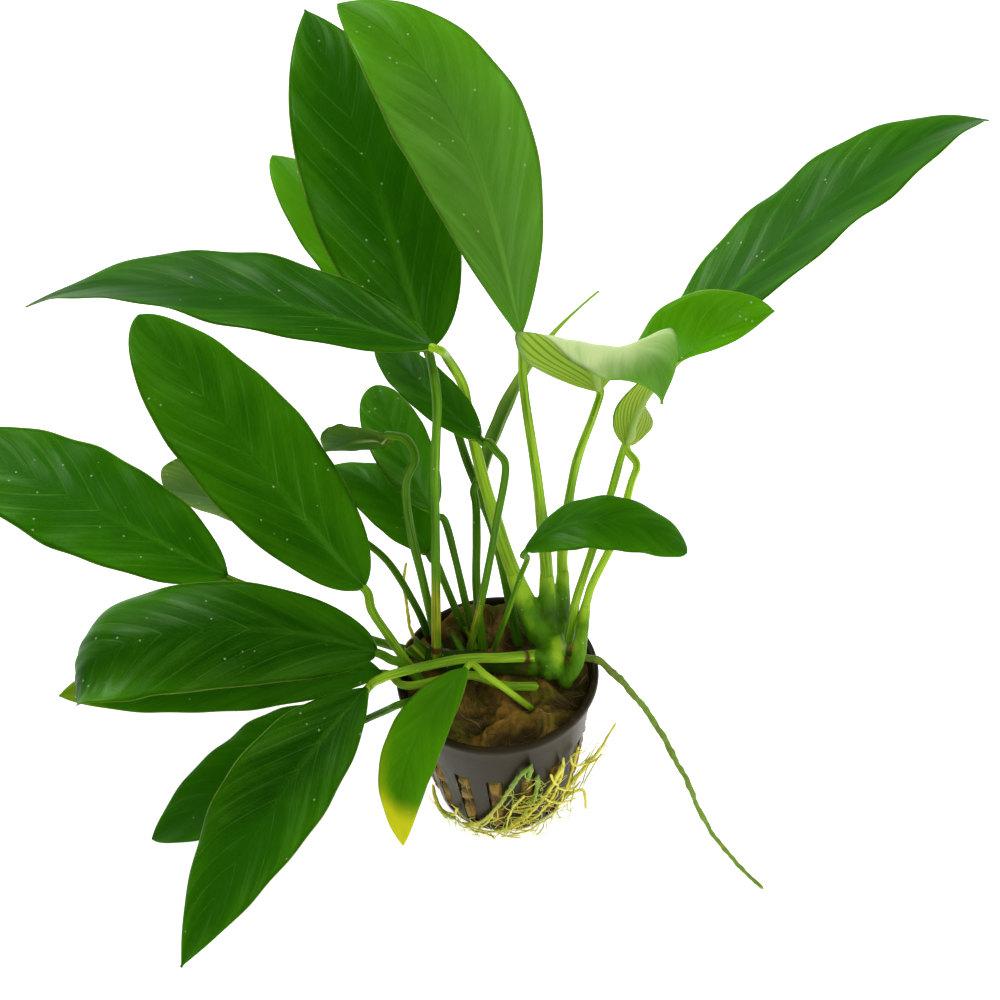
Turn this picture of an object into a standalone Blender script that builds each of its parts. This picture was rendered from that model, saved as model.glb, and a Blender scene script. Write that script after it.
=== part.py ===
"""Potted anubias: a clump of lance-shaped leaves on long stalks, growing from a short creeping
rhizome that lies on the rock wool of a small slotted pot.

Run it with: blender --background --python part.py

Sizes and places are in millimetres and MM turns them into Blender's metres. +Z is up, the front
is -Y, and the origin is the centre of the pot's flat underside.
"""

import math
from typing import NamedTuple

import bmesh
import bpy
import numpy as np
from mathutils import Matrix, Vector

MM = 0.001
UP = np.array([0.0, 0.0, 1.0])
GAP = 0.3  # clear space between two pieces that touch

# Pot
RIM_RADIUS = 27.5
POT_HEIGHT = 47.0
BASE_RADIUS = 19.0
WALL = 1.2
WALL_TOP = 44.3  # the rolled lip starts here
WALL_TOP_RADIUS = 26.3
POT_STEPS = 32
SLOT_COUNT = 16
SLOT_WIDTH = 4.4
SLOT_LOW = 2.5
SLOT_HIGH = 28.5
SLOT_PHASE = -7.0  # degrees from the front to the middle of the nearest slot
DRAIN_COUNT = 8
DRAIN_WIDTH = 2.6
DRAIN_INNER = 7.0
DRAIN_OUTER = 15.5

# Rock wool
WOOL_TOP = 44.8
WOOL_LUMP = 0.5

# Leaves
BLADE_THICKNESS = 0.5
BLADE_ROWS = 9
BLADE_COLUMNS = 4
NECK_HALF_WIDTH = 0.9
TIP_HALF_WIDTH = 0.4
NECK_GAP = 0.5  # from the end of a stalk to its blade
NECK_LEAD = 2.0  # the last of a stalk, which already runs the blade's way
TAPER = 0.6  # a stalk thins quickly above its root and then slowly
BOW_PULL = 4 / 3  # how much further a cubic curve's inner control points stand off than its arc


class Leaf(NamedTuple):
    """A stalk from its root to the neck, and a blade from the neck to the tip."""

    stalk: tuple  # places on the stalk's centre line, root first, without the neck
    radii: tuple  # of the stalk, at the root and at the neck
    neck: tuple
    tip: tuple
    width: float
    bow: tuple = (0, 0, 0)  # how far the midrib's arc stands off its chord
    tip_bow: tuple | None = None  # the same towards the tip, where it differs
    skew: float = 0  # share by which the right-hand half is wider and the left narrower
    roll: float = 0  # degrees about the midrib, the right-hand half down
    twist: float = 0  # degrees of roll lost from the neck to the tip
    fold: float = 8  # degrees that each half is folded up, at the neck
    tip_fold: float | None = None  # the same at the tip, where it differs
    base: float = 0.75  # outline exponent at the neck: small is blunt
    point: float = 0.8  # outline exponent at the tip
    ripple: float = 0  # height of the waves along the margins
    waves: float = 2.5
    turn: float = 0  # degrees that the blade's level line is turned about Z


LEAVES = (
    # the two tallest, side by side at the back, and a narrow one behind them
    Leaf(((15, 12, 68.2), (15, 14, 77), (14, 18, 101), (12, 24, 127)), (1.95, 1.05),
         (12, 29, 141), (-29, 108, 190), 35.5, bow=(6, 3, 10), tip_bow=(11, 3, 10), base=0.85,
         point=0.75),
    Leaf(((-16, 4, 52.6), (-14, 11, 81), (-12, 14.5, 110.5), (-10, 18, 131), (-11, 31, 134)), (1.3, 1.2),
         (-12, 42, 127), (-39, 125, 178), 38, bow=(-1, 4, 10), fold=6, base=0.55, point=1.0),
    Leaf(((6, 13, 46.5), (2, 30, 68), (-4, 41, 86), (-8, 49, 98)), (1.5, 1.1),
         (-16, 59, 107), (-54, 129, 128), 23, bow=(2, 0, 3), point=0.7),
    # the long one that points left
    Leaf(((7, 13, 68), (4, 17, 79), (0, 23, 98), (-2.5, 31, 111), (-3.5, 38.5, 117), (-7, 37.5, 128)),
         (2.2, 1.1), (-10, 28, 140), (-116, 60, 136), 34, bow=(0, 3, 5), tip_bow=(0, 5, 12),
         roll=10, twist=-22, point=0.85),
    # the left side, from top to bottom
    Leaf(((-23, 2.8, 46.5), (-28, 4, 59), (-32, 6.5, 67.5)), (1.3, 1.2),
         (-34, 11, 72), (-92, 82, 112), 36, bow=(-2, 0, 3), fold=4, base=0.55, point=0.62),
    Leaf(((-22, 6.4, 49.6), (-43, 20, 46), (-60, 32, 47)), (1.3, 1.2),
         (-74, 36, 53), (-152, 78, 74), 37.5, bow=(0, -2, 4), fold=4, base=0.65, point=0.62),
    Leaf(((-20.5, -1.5, 46.5), (-25, 0, 52.5), (-28, -1.5, 56.5)), (1.3, 1.2),
         (-32, 1, 57), (-114, 0, 47), 35, bow=(0, 8, 8), tip_bow=(-21, 8, 13), roll=-20, twist=-20,
         fold=-25, tip_fold=-5, base=0.55, point=0.35, ripple=4, waves=0.65),
    Leaf(((9.5, -7.5, 48.5), (1, -7.5, 50), (-8, -4.5, 51.5), (-24, -5.5, 50)), (1.2, 1.1),
         (-31, 1, 48), (-121, 8, 40), 26, bow=(0, 3, 2), roll=-14, fold=6),
    Leaf(((8.5, -2, 54.6), (1, -3.6, 56.6), (-10, -2.8, 56.2), (-26, -7, 57.5), (-31, -8, 56.5)),
         (1.45, 1.15), (-35, -6.5, 51), (-89, -60, 6), 31.5, bow=(-1.5, 0, 6), base=0.8, point=1.0),
    Leaf(((-17, -7, 46.9), (-26, -12, 50.5), (-30, -10, 46)), (1.1, 1.0),
         (-38, -7, 38), (-98, -22, 12), 32, bow=(1, -1, 4), base=0.6, point=0.75),
    # the small yellowing one that hangs in front of the pot
    Leaf(((6, -11, 46.9), (2, -11.5, 53), (-3, -9.5, 57)), (0.9, 0.9),
         (-8, -7, 57), (-28, -40, 26), 16, bow=(-6, -2, 5), fold=4, base=0.65, point=0.75),
    # the small arched one in front of the right-hand stalks
    Leaf(((-0.6, 8, 46.5), (4, 6, 64), (8, 4, 80), (10, 0, 91)), (0.8, 0.75),
         (10, -2, 96), (50, -8, 97), 19, bow=(-3, 4, 7.5), tip_bow=(2, 4.5, 7), fold=-5, base=0.55,
         point=0.5),
    # the long one that points right
    Leaf(((21.4, 3, 64), (22.5, 4, 70), (27, 8.6, 82), (33, 18, 94), (38, 31, 99), (45, 45, 104)),
         (1.2, 1.0), (50, 53, 113), (145, 106, 140), 42, bow=(-1, -2, 1), tip_bow=(2, 6, 14), roll=-20,
         point=0.9),
    # the bright one below it, strongly twisted, and the arched pale one beside that
    Leaf(((25, 3.5, 68.5), (27, 5, 74.5), (34, 9, 89), (38, 15, 100), (40, 19, 103)), (1.2, 1.0),
         (38, 23, 107), (79, 50, 125), 25, bow=(-9, -2, 7), tip_bow=(-2, 0, 8), skew=-0.45, roll=-25,
         twist=-190, fold=30, tip_fold=10, base=0.45, point=0.85),
    Leaf(((19.3, 14, 66.2), (20, 18, 76), (24, 22, 100), (29, 22, 118)), (1.7, 1.0),
         (31, 25, 125), (45, 5, 137), 41, bow=(-6, 3, 13), tip_bow=(5, 3, 15), skew=0.25, roll=-12,
         fold=12, tip_fold=5, base=0.85, point=1.3, turn=-15),
    # small ones among the stalks, on thin stalks that hook over at the top
    Leaf(((-7.5, 7.4, 46.5), (-2, 7, 72), (3, 10, 96), (6, 12, 112), (4, 12, 118), (2, 14, 120)),
         (1.1, 1.0), (0, 16, 119), (-26, 62, 115), 14, bow=(-2, -2, 4), fold=6, base=0.6),
    Leaf(((-5.5, 12.5, 46.5), (-7, 13.5, 58), (-9, 18, 73), (-11, 22, 84)), (1.1, 1.0),
         (-14, 24, 86), (-29, 76, 85), 17, bow=(-1, 0, 1), fold=4, base=0.55, point=0.5),
    Leaf(((-8, 14.5, 46.5), (-12, 16, 64), (-14, 16, 74)), (1.1, 1.0),
         (-16, 18, 76), (-42, 52, 78), 18, bow=(2, 2, 3), fold=4, base=0.6),
    Leaf(((-16, 11.4, 46.5), (-18, 12, 72), (-20, 16, 88), (-20, 18, 103), (-17, 20, 110),
          (-19, 25, 112)), (1.2, 1.1),
         (-24, 29, 110), (-43, 53, 83), 16, bow=(0, 0, 1), roll=50),
    Leaf(((-18, 14, 46.5), (-21, 16, 58), (-28, 26, 66), (-37, 33, 70)), (1.1, 1.0),
         (-42, 35, 69), (-94, 76, 50), 30, bow=(0, 0, 2), roll=80, point=0.5),
    Leaf(((-3.6, 10.2, 46.5), (-4, 16.5, 62.5), (-3, 22, 76), (-2.5, 28, 83)), (1.3, 1.1),
         (-2, 32, 87), (34, 62, 126), 9, bow=(-3, 0, 0), tip_bow=(-8, 0, 1), roll=-80, base=0.8,
         point=1.6),
)

# The rhizome and, joined to it, the crown and the sheaths of the five thick stalks:
# each is a route with the radius at every place on it.
RHIZOME = (((-20, 6, 49), 2.8), ((-12, 3, 49), 3.1), ((-3, 2, 49), 2.9), ((6, 0, 49.2), 3.2),
           ((13, -1, 50), 3.6))
CROWN = (((13.5, -6, 49.6), 3.2), ((14.5, -1, 50.4), 4.2), ((15, 5, 51), 4.4), ((15.5, 10, 51.5), 3.2))
SHEATHS = (
    (((13.5, 6, 50), 4.2), ((10.5, 8.5, 58), 3.4), ((7.4, 12.6, 67), 2.5)),
    (((14.8, 7, 50), 3.6), ((14.8, 9.6, 58), 2.8), ((15, 11.7, 67), 2.2)),
    (((16.5, 7, 50), 3.4), ((18.4, 10.8, 57), 2.6), ((19.2, 13.5, 65), 2.0)),
    (((18.5, -5, 48), 2.2), ((21.4, -3.6, 52), 2.0), ((23.2, -0.4, 60), 1.8), ((24.2, 2, 65), 1.6)),
)

# Fine roots, from the slots out over the wall: degrees from the front, distance off the wall, height
WALL_ROOTS = (
    ((14, 0.9, 29), (16, 1.2, 36), (9, 1.2, 33), (1, 1.2, 24), (-6, 1.2, 17), (-16, 1.2, 9),
     (-27, 1.3, 4), (-39, 1.8, 1.6)),
    ((20, 1.1, 30), (21, 1.3, 25), (18, 1.3, 17), (11, 2.8, 14)),
    ((41, 1.0, 29), (36, 1.3, 25), (29, 1.3, 19), (19, 1.3, 12), (4, 1.3, 5.5), (-12, 1.4, 2)),
    ((-44, 1.6, 2.4), (-55, 2.6, 2), (-64, 2.4, 5), (-72, 1.2, 8)),
)
WALL_ROOT_RADII = (0.75, 0.55)
# Two that stand off to the right, as places
FREE_ROOTS = (
    ((16, -17, 14), (19.5, -14, 15.5), (24, -10.5, 18), (27, -7.5, 20), (32, -2, 24)),
    ((15, -16.4, 10), (18, -14.5, 9.5), (21.5, -12.8, 8), (22, -15.5, 2.5)),
)
FREE_ROOT_RADII = (0.7, 0.5)
AERIAL_ROOT = ((24.5, 0, 50), (28, -2, 50), (35, -7.5, 44.5), (41.5, -13.5, 36.5), (49, -24, 24.5),
               (54, -31, 13), (61, -38, 5), (68, -45, 1.2))
AERIAL_ROOT_RADII = (1.0, 0.6)


def unit(vectors):
    return vectors / np.linalg.norm(vectors, axis=-1, keepdims=True)


def clear_scene():
    for obj in list(bpy.data.objects):
        bpy.data.objects.remove(obj, do_unlink=True)


def new_collection(name):
    collection = bpy.data.collections.new(name)
    bpy.context.scene.collection.children.link(collection)
    return collection


def material(name, colour, roughness):
    made = bpy.data.materials.new(name)
    made.use_nodes = True
    shader = made.node_tree.nodes["Principled BSDF"]
    shader.inputs["Base Color"].default_value = (*colour, 1.0)
    shader.inputs["Roughness"].default_value = roughness
    shader.inputs["Metallic"].default_value = 0.0
    return made


def add_object(name, data, collection, surface=None):
    obj = bpy.data.objects.new(name, data)
    collection.objects.link(obj)
    if surface:
        data.materials.append(surface)
    return obj


def add_bmesh(name, shape, collection, surface=None):
    """Turns a bmesh into an object, smooth except at its sharp edges."""
    mesh = bpy.data.meshes.new(name)
    shape.to_mesh(mesh)
    shape.free()
    mesh.shade_smooth()
    mesh.set_sharp_from_angle(angle=math.radians(40))
    return add_object(name, mesh, collection, surface)


def as_mesh(obj, collection):
    """Replaces a curve, or an object with modifiers, by the mesh that it makes, with seams welded."""
    graph = bpy.context.evaluated_depsgraph_get()
    baked = bpy.data.meshes.new_from_object(obj.evaluated_get(graph))
    shape = bmesh.new()
    shape.from_mesh(baked)
    bmesh.ops.remove_doubles(shape, verts=shape.verts, dist=0.01 * MM)
    bpy.data.meshes.remove(baked)
    name = obj.name
    bpy.data.objects.remove(obj, do_unlink=True)
    return add_bmesh(name, shape, collection)


def hide_helper(obj):
    obj.hide_render = True
    obj.display_type = "WIRE"


def through(places, steps):
    """A smooth line through the places (Catmull-Rom), with this many steps between two of them."""
    places = np.asarray(places, float)
    padded = np.vstack([2 * places[0] - places[1], places, 2 * places[-1] - places[-2]])
    line = []
    for before, start, end, after in zip(padded, padded[1:], padded[2:], padded[3:]):
        for t in np.arange(steps) / steps:
            line.append(0.5 * (2 * start + (end - before) * t
                               + (2 * before - 5 * start + 4 * end - after) * t ** 2
                               + (3 * start - before - 3 * end + after) * t ** 3))
    return np.array([*line, places[-1]])


def tube(name, line, radii, collection, surface=None, resolution=1):
    """A closed tube along a line, with a radius at each point of it."""
    curve = bpy.data.curves.new(name, "CURVE")
    curve.dimensions = "3D"
    curve.bevel_depth = MM
    curve.bevel_resolution = resolution
    curve.use_fill_caps = True
    spline = curve.splines.new("POLY")
    spline.points.add(len(line) - 1)
    for point, place, radius in zip(spline.points, line, radii):
        point.co = (*(Vector(place) * MM), 1.0)
        point.radius = radius
    return add_object(name, curve, collection, surface)


def tapered_tube(name, places, ends, collection, surface, steps=2):
    line = through(places, steps)
    return tube(name, line, np.linspace(*ends, len(line)), collection, surface)


def wall_radius(height):
    """The outer radius of the pot's wall."""
    return BASE_RADIUS + (WALL_TOP_RADIUS - BASE_RADIUS) * height / WALL_TOP


def by_the_wall(angle, off, height):
    """A place this far off the wall, at this many degrees from the front and this height."""
    turn = math.radians(angle)
    radius = wall_radius(height) + off
    return (radius * math.sin(turn), -radius * math.cos(turn), height)


def turned(name, profile, steps, collection, surface=None):
    """A profile of (radius, height) points, from the axis to the axis, turned about Z."""
    mesh = bpy.data.meshes.new(name)
    edges = [(i, i + 1) for i in range(len(profile) - 1)]
    mesh.from_pydata([(r * MM, 0, z * MM) for r, z in profile], edges, [])
    obj = add_object(name, mesh, collection, surface)
    screw = obj.modifiers.new("Turn", "SCREW")
    screw.axis = "Z"
    screw.steps = steps
    screw.render_steps = steps
    screw.use_merge_vertices = True
    screw.merge_threshold = 0.0001
    screw.use_smooth_shade = True
    return obj


def add_block(shape, size, centre, angle):
    """A box of this size, centred this far out, at this many degrees from the front."""
    block = bmesh.ops.create_cube(shape, size=1.0)
    place = Matrix.Rotation(math.radians(angle), 4, "Z") @ Matrix.Translation(Vector(centre) * MM)
    bmesh.ops.transform(shape, matrix=place @ Matrix.Diagonal((*(Vector(size) * MM), 1.0)),
                        verts=block["verts"])


def slot_cutter(collection):
    """The wall's upright slots and the floor's radial drain slots, as one mesh."""
    shape = bmesh.new()
    slot_inner = DRAIN_OUTER + GAP
    slot_depth = RIM_RADIUS + WALL - slot_inner
    slot_size = (SLOT_WIDTH, slot_depth, SLOT_HIGH - SLOT_LOW)
    slot_centre = (0, -(slot_inner + slot_depth / 2), (SLOT_HIGH + SLOT_LOW) / 2)
    for k in range(SLOT_COUNT):
        add_block(shape, slot_size, slot_centre, SLOT_PHASE + 360 * k / SLOT_COUNT)
    drain_size = (DRAIN_WIDTH, DRAIN_OUTER - DRAIN_INNER, 4 * WALL)
    drain_centre = (0, -(DRAIN_INNER + DRAIN_OUTER) / 2, 0)
    for k in range(DRAIN_COUNT):
        add_block(shape, drain_size, drain_centre, 360 * k / DRAIN_COUNT)
    cutter = add_bmesh("slot_cutter", shape, collection)
    hide_helper(cutter)
    return cutter


def build_pot(parts, cutters, surface):
    profile = (
        (0, WALL), (BASE_RADIUS - WALL, WALL), (WALL_TOP_RADIUS - WALL, WALL_TOP),
        (WALL_TOP_RADIUS - 0.8, POT_HEIGHT - 0.5), (WALL_TOP_RADIUS, POT_HEIGHT),
        (RIM_RADIUS - 0.3, POT_HEIGHT - 0.4), (RIM_RADIUS, POT_HEIGHT - 1.2),
        (RIM_RADIUS - 0.3, WALL_TOP + 0.3), (WALL_TOP_RADIUS, WALL_TOP),
        (wall_radius(0.5), 0.5), (BASE_RADIUS - 0.4, 0), (0, 0),
    )
    pot = turned("pot", profile, POT_STEPS, parts, surface)
    cut = pot.modifiers.new("Slots", "BOOLEAN")
    cut.operation = "DIFFERENCE"
    cut.object = slot_cutter(cutters)


def wool_lump(x, y):
    """Height of the wool's uneven top above its mean, between -1 and 1."""
    return 0.6 * math.sin(0.42 * x + 0.5) * math.cos(0.37 * y) + 0.4 * math.sin(0.9 * x - 0.6 * y)


def build_wool(parts, surface):
    """The plug that fills the pot, with an uneven top."""
    low = WALL + GAP
    foot = BASE_RADIUS - WALL - GAP
    brim = wall_radius(WOOL_TOP - 1) - WALL - GAP
    profile = ((0, WOOL_TOP), (brim / 3, WOOL_TOP), (2 * brim / 3, WOOL_TOP), (brim - 0.6, WOOL_TOP),
               (brim, WOOL_TOP - 1), (foot, low), (0, low))
    wool = as_mesh(turned("rock_wool", profile, POT_STEPS, parts), parts)
    wool.data.materials.append(surface)
    for vertex in wool.data.vertices:
        if vertex.co.z > (WOOL_TOP - 0.5) * MM:
            x, y = vertex.co.x / MM, vertex.co.y / MM
            vertex.co.z += WOOL_LUMP * wool_lump(x, y) * MM


def build_rhizome(parts, cutters, surface):
    """The creeping stem with its crown, and the sheaths at the foot of the thick stalks."""

    def limb(name, stations, steps, collection):
        line = through([place for place, _ in stations], steps)
        known = np.arange(len(stations)) * steps
        radii = np.interp(np.arange(len(line)), known, [radius for _, radius in stations])
        return as_mesh(tube(name, line, radii, collection, resolution=2), collection)

    rhizome = limb("rhizome", RHIZOME, 2, parts)
    rhizome.data.materials.append(surface)
    for k, stations in enumerate((CROWN, *SHEATHS)):
        helper = limb(f"crown_limb_{k}", stations, 2, cutters)
        hide_helper(helper)
        join = rhizome.modifiers.new(f"Join {k}", "BOOLEAN")
        join.operation = "UNION"
        join.object = helper


def midrib(leaf, u):
    """Places and directions along the midrib, a cubic from the neck (u 0) to the tip (u 1)."""
    neck, tip, bow = (np.asarray(value, float) for value in (leaf.neck, leaf.tip, leaf.bow))
    tip_bow = bow if leaf.tip_bow is None else np.asarray(leaf.tip_bow, float)
    first = neck + (tip - neck) / 3 + BOW_PULL * bow
    second = tip - (tip - neck) / 3 + BOW_PULL * tip_bow
    u = u[:, None]
    places = ((1 - u) ** 3 * neck + 3 * u * (1 - u) ** 2 * first
              + 3 * u ** 2 * (1 - u) * second + u ** 3 * tip)
    directions = unit((1 - u) ** 2 * (first - neck) + 2 * u * (1 - u) * (second - first)
                      + u ** 2 * (tip - second))
    return places, directions


def blade_frame(leaf, u):
    """The midrib's places, and at each the direction across the blade and the one out of its top."""
    places, along = midrib(leaf, u)
    level = np.cross(np.subtract(leaf.tip, leaf.neck), UP)
    level = np.array(Matrix.Rotation(math.radians(leaf.turn), 3, "Z") @ Vector(level).normalized())
    side = unit(level - along * (along @ level)[:, None])
    over = np.cross(side, along)
    angle = np.radians(leaf.roll + leaf.twist * (0.5 - u))[:, None]
    across = side * np.cos(angle) - over * np.sin(angle)
    top = over * np.cos(angle) + side * np.sin(angle)
    return places, across, top


def half_width(leaf, u):
    """Half the blade's width: zero at both ends, and leaf.width / 2 at the widest place."""
    widest = leaf.base / (leaf.base + leaf.point)
    shape = u ** leaf.base * (1 - u) ** leaf.point
    return leaf.width / 2 * shape / (widest ** leaf.base * (1 - widest) ** leaf.point)


def blade_points(leaf, u, v):
    """Places on the blade, by u along it and v across it, from -1 at the left margin to 1."""
    places, across, top = blade_frame(leaf, u)
    ends = NECK_HALF_WIDTH + (TIP_HALF_WIDTH - NECK_HALF_WIDTH) * u
    half = np.maximum(half_width(leaf, u), ends)[:, None] * (1 + leaf.skew * np.sign(v))
    tip_fold = leaf.fold if leaf.tip_fold is None else leaf.tip_fold
    fold = np.radians(leaf.fold + (tip_fold - leaf.fold) * u)[:, None]
    wave = np.sin(2 * np.pi * (leaf.waves * u[:, None] + 0.25 * np.sign(v)))
    lift = half * np.abs(v) * np.sin(fold)
    lift = lift + leaf.ripple * wave * np.abs(v) ** 3 * half / (leaf.width / 2)
    flat = half * v * np.cos(fold)
    return places[:, None] + flat[..., None] * across[:, None] + lift[..., None] * top[:, None]


def build_blade(name, leaf, parts, surface):
    """A grid laid along the midrib, closer at both ends, and thickened."""
    u = 0.5 - 0.5 * np.cos(np.pi * np.linspace(0, 1, BLADE_ROWS + 1))
    v = np.linspace(-1, 1, BLADE_COLUMNS + 1)
    places = blade_points(leaf, u, v)
    grid = bmesh.new()
    bmesh.ops.create_grid(grid, x_segments=BLADE_ROWS, y_segments=BLADE_COLUMNS, size=0.5)
    for vertex in grid.verts:
        row = round((vertex.co.x + 0.5) * BLADE_ROWS)
        column = round((0.5 - vertex.co.y) * BLADE_COLUMNS)
        vertex.co = Vector(places[row, column]) * MM
    blade = add_bmesh(name, grid, parts, surface)
    thicken = blade.modifiers.new("Thickness", "SOLIDIFY")
    thicken.thickness = BLADE_THICKNESS * MM
    thicken.offset = 0.0


def build_stalk(name, leaf, parts, surface):
    """The stalk, which bends into the blade's direction and stops just short of its neck."""
    places, directions = midrib(leaf, np.zeros(1))
    bend = places[0] - NECK_LEAD * directions[0]
    end = places[0] - NECK_GAP * directions[0]
    line = np.array([*through([*leaf.stalk, bend], 2), end])
    at_root, at_neck = leaf.radii
    radii = at_root + (at_neck - at_root) * np.linspace(0, 1, len(line)) ** TAPER
    tube(name, line, radii, parts, surface)


def main():
    clear_scene()
    parts = new_collection("potted_anubias")
    cutters = new_collection("cutters")

    leaf_green = material("leaf", (0.06, 0.24, 0.02), 0.35)
    stalk_green = material("stalk", (0.18, 0.38, 0.04), 0.45)
    rhizome_skin = material("rhizome_skin", (0.13, 0.21, 0.03), 0.55)
    root_skin = material("root_skin", (0.36, 0.38, 0.06), 0.6)
    wool_brown = material("wool", (0.13, 0.08, 0.025), 0.9)
    pot_plastic = material("pot_plastic", (0.03, 0.026, 0.024), 0.4)

    build_pot(parts, cutters, pot_plastic)
    build_wool(parts, wool_brown)
    build_rhizome(parts, cutters, rhizome_skin)
    for number, leaf in enumerate(LEAVES, start=1):
        build_stalk(f"stalk_{number:02d}", leaf, parts, stalk_green)
        build_blade(f"leaf_{number:02d}", leaf, parts, leaf_green)
    for number, route in enumerate(WALL_ROOTS, start=1):
        places = [by_the_wall(*place) for place in route]
        tapered_tube(f"wall_root_{number}", places, WALL_ROOT_RADII, parts, root_skin)
    for number, places in enumerate(FREE_ROOTS, start=1):
        tapered_tube(f"free_root_{number}", places, FREE_ROOT_RADII, parts, root_skin)
    tapered_tube("aerial_root", AERIAL_ROOT, AERIAL_ROOT_RADII, parts, root_skin)


main()
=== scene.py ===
# %% [markdown]
# # A potted water plant, dressed over its solids
# The imported solids are the skeleton: they say where each leaf, stalk and root is. This lesson loads
# them, and then makes the surfaces that the eye meets, each on the solid that it stands for.

# %% Load the frame
import math
from typing import NamedTuple

import bpy
import numpy as np
from mathutils import Matrix


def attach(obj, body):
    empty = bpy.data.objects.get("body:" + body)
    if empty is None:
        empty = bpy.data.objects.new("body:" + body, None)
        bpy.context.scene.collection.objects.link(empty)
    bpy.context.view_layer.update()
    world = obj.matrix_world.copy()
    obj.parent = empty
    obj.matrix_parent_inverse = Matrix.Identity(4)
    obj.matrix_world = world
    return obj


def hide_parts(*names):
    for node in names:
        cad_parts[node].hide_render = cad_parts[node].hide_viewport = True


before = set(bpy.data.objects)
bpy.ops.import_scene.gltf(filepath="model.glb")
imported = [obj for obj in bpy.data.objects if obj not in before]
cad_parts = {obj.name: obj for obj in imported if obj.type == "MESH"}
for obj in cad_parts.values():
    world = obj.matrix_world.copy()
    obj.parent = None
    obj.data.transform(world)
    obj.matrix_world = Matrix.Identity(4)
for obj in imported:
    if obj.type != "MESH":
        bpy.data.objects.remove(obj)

MM = 0.001
UP = np.array([0.0, 0.0, 1.0])
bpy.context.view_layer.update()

# %% [markdown]
# ## The camera
# The plant is looked at from sixty centimetres, well above the rim, so the rim is an ellipse about
# seven tenths as tall as it is wide. A long lens keeps the near leaves from growing. The camera is
# made first, so that every later step can be judged through it.

# %% Camera
CAMERA_PLACE = (0.004, -0.389, 0.5087)
CAMERA_DOWN = 45.5  # degrees below the horizon
CAMERA_ROLL = 4.0
CAMERA_LENS = 80


def make_camera():
    """Looks along +Y, turned down by CAMERA_DOWN, and then rolled about its own axis."""
    camera = bpy.data.objects.new("camera", bpy.data.cameras.new("camera"))
    camera.data.lens = CAMERA_LENS
    camera.matrix_world = (Matrix.Translation(CAMERA_PLACE)
                           @ Matrix.Rotation(math.radians(90 - CAMERA_DOWN), 4, "X")
                           @ Matrix.Rotation(math.radians(-CAMERA_ROLL), 4, "Z"))
    bpy.context.scene.collection.objects.link(camera)
    bpy.context.scene.camera = camera
    print("camera at", CAMERA_PLACE, "with a lens of", CAMERA_LENS, "mm")


make_camera()

# %% [markdown]
# ## Lines, frames and grids
# A stalk, a root and a fibre are all a section carried along a line, and a blade is a section that
# grows and shrinks along its midrib. So one set of tools makes them all: a smooth line through a
# few places, a pair of directions across it, and the quads of a grid. They work on whole arrays.

# %% Lines
def unit(vectors):
    """Each vector divided by its own length."""
    return vectors / np.linalg.norm(vectors, axis=-1, keepdims=True)


def smooth_line(places, steps):
    """Catmull-Rom: between two places, the cubic whose slope at each is half the step over it."""
    places = np.asarray(places, float)
    padded = np.vstack([2 * places[0] - places[1], places, 2 * places[-1] - places[-2]])
    before, start, end, after = (padded[k:len(places) - 1 + k, None] for k in range(4))
    t = (np.arange(steps) / steps)[None, :, None]
    curve = 0.5 * (2 * start + (end - before) * t + (2 * before - 5 * start + 4 * end - after) * t ** 2
                   + (3 * start - before - 3 * end + after) * t ** 3)
    return np.vstack([curve.reshape(-1, 3), places[-1]])


def lengths(line):
    """How far along the line each of its points is."""
    return np.concatenate([[0], np.cumsum(np.linalg.norm(np.diff(line, axis=0), axis=1))])


def even_line(line, count):
    """The same line with this many points, evenly spaced along its length."""
    far = lengths(line)
    return np.stack([np.interp(np.linspace(0, far[-1], count), far, line[:, k]) for k in range(3)], 1)


def frames(line):
    """Two directions across the line: side is square to the one direction that the line's
    tangents keep away from the most, and other is square to both."""
    tangent = unit(np.gradient(line, axis=0))
    away = np.linalg.eigh(tangent.T @ tangent)[1][:, 0]
    side = unit(np.cross(tangent, away * np.sign(away[np.abs(away).argmax()])))
    return side, np.cross(tangent, side)


def grid_faces(rows, columns, wrap=False):
    """The quads of a grid that is numbered row by row; wrap joins its last column to the first."""
    i = np.arange(rows - 1)[:, None] * columns
    j = np.arange(columns if wrap else columns - 1)[None, :]
    after = (j + 1) % columns
    return np.stack([i + j, i + after, i + columns + after, i + columns + j], -1).reshape(-1, 4)


def closed_sleeve(rings):
    """Places and faces of rings (rows, columns, 3) joined into a sleeve, with a pole at each end."""
    rows, columns = rings.shape[:2]
    places = np.vstack([rings.reshape(-1, 3), rings[0].mean(0), rings[-1].mean(0)])
    j = np.arange(columns)
    after = (j + 1) % columns
    last = (rows - 1) * columns
    foot = np.stack([np.full(columns, rows * columns), after, j], 1)
    head = np.stack([np.full(columns, rows * columns + 1), last + j, last + after], 1)
    return places, [*grid_faces(rows, columns, wrap=True).tolist(), *foot.tolist(), *head.tolist()]


print("a test line of", lengths(smooth_line([(0, 0, 0), (3, 0, 4), (6, 0, 8)], 8))[-1], "mm")

# %% [markdown]
# ## Nature's unevenness
# Grown things are never even, but their unevenness is smooth. A sum of waves that run in many
# directions, each with its own seed, gives that for any set of places at once, and the same each run.

# %% Waves
def waves(places, size, seed, count=14):
    """Smooth noise between about -1 and 1: the mean of sines of places in random directions, whose
    wavelengths lie around size (mm)."""
    rng = np.random.default_rng(seed)
    ways = unit(rng.normal(size=(count, 3))) * (2 * np.pi / (size * rng.uniform(0.7, 1.5, (count, 1))))
    turns = rng.uniform(0, 2 * np.pi, count)
    return np.sin(places @ ways.T + turns).sum(-1) / math.sqrt(count / 2) * 0.7


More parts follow.
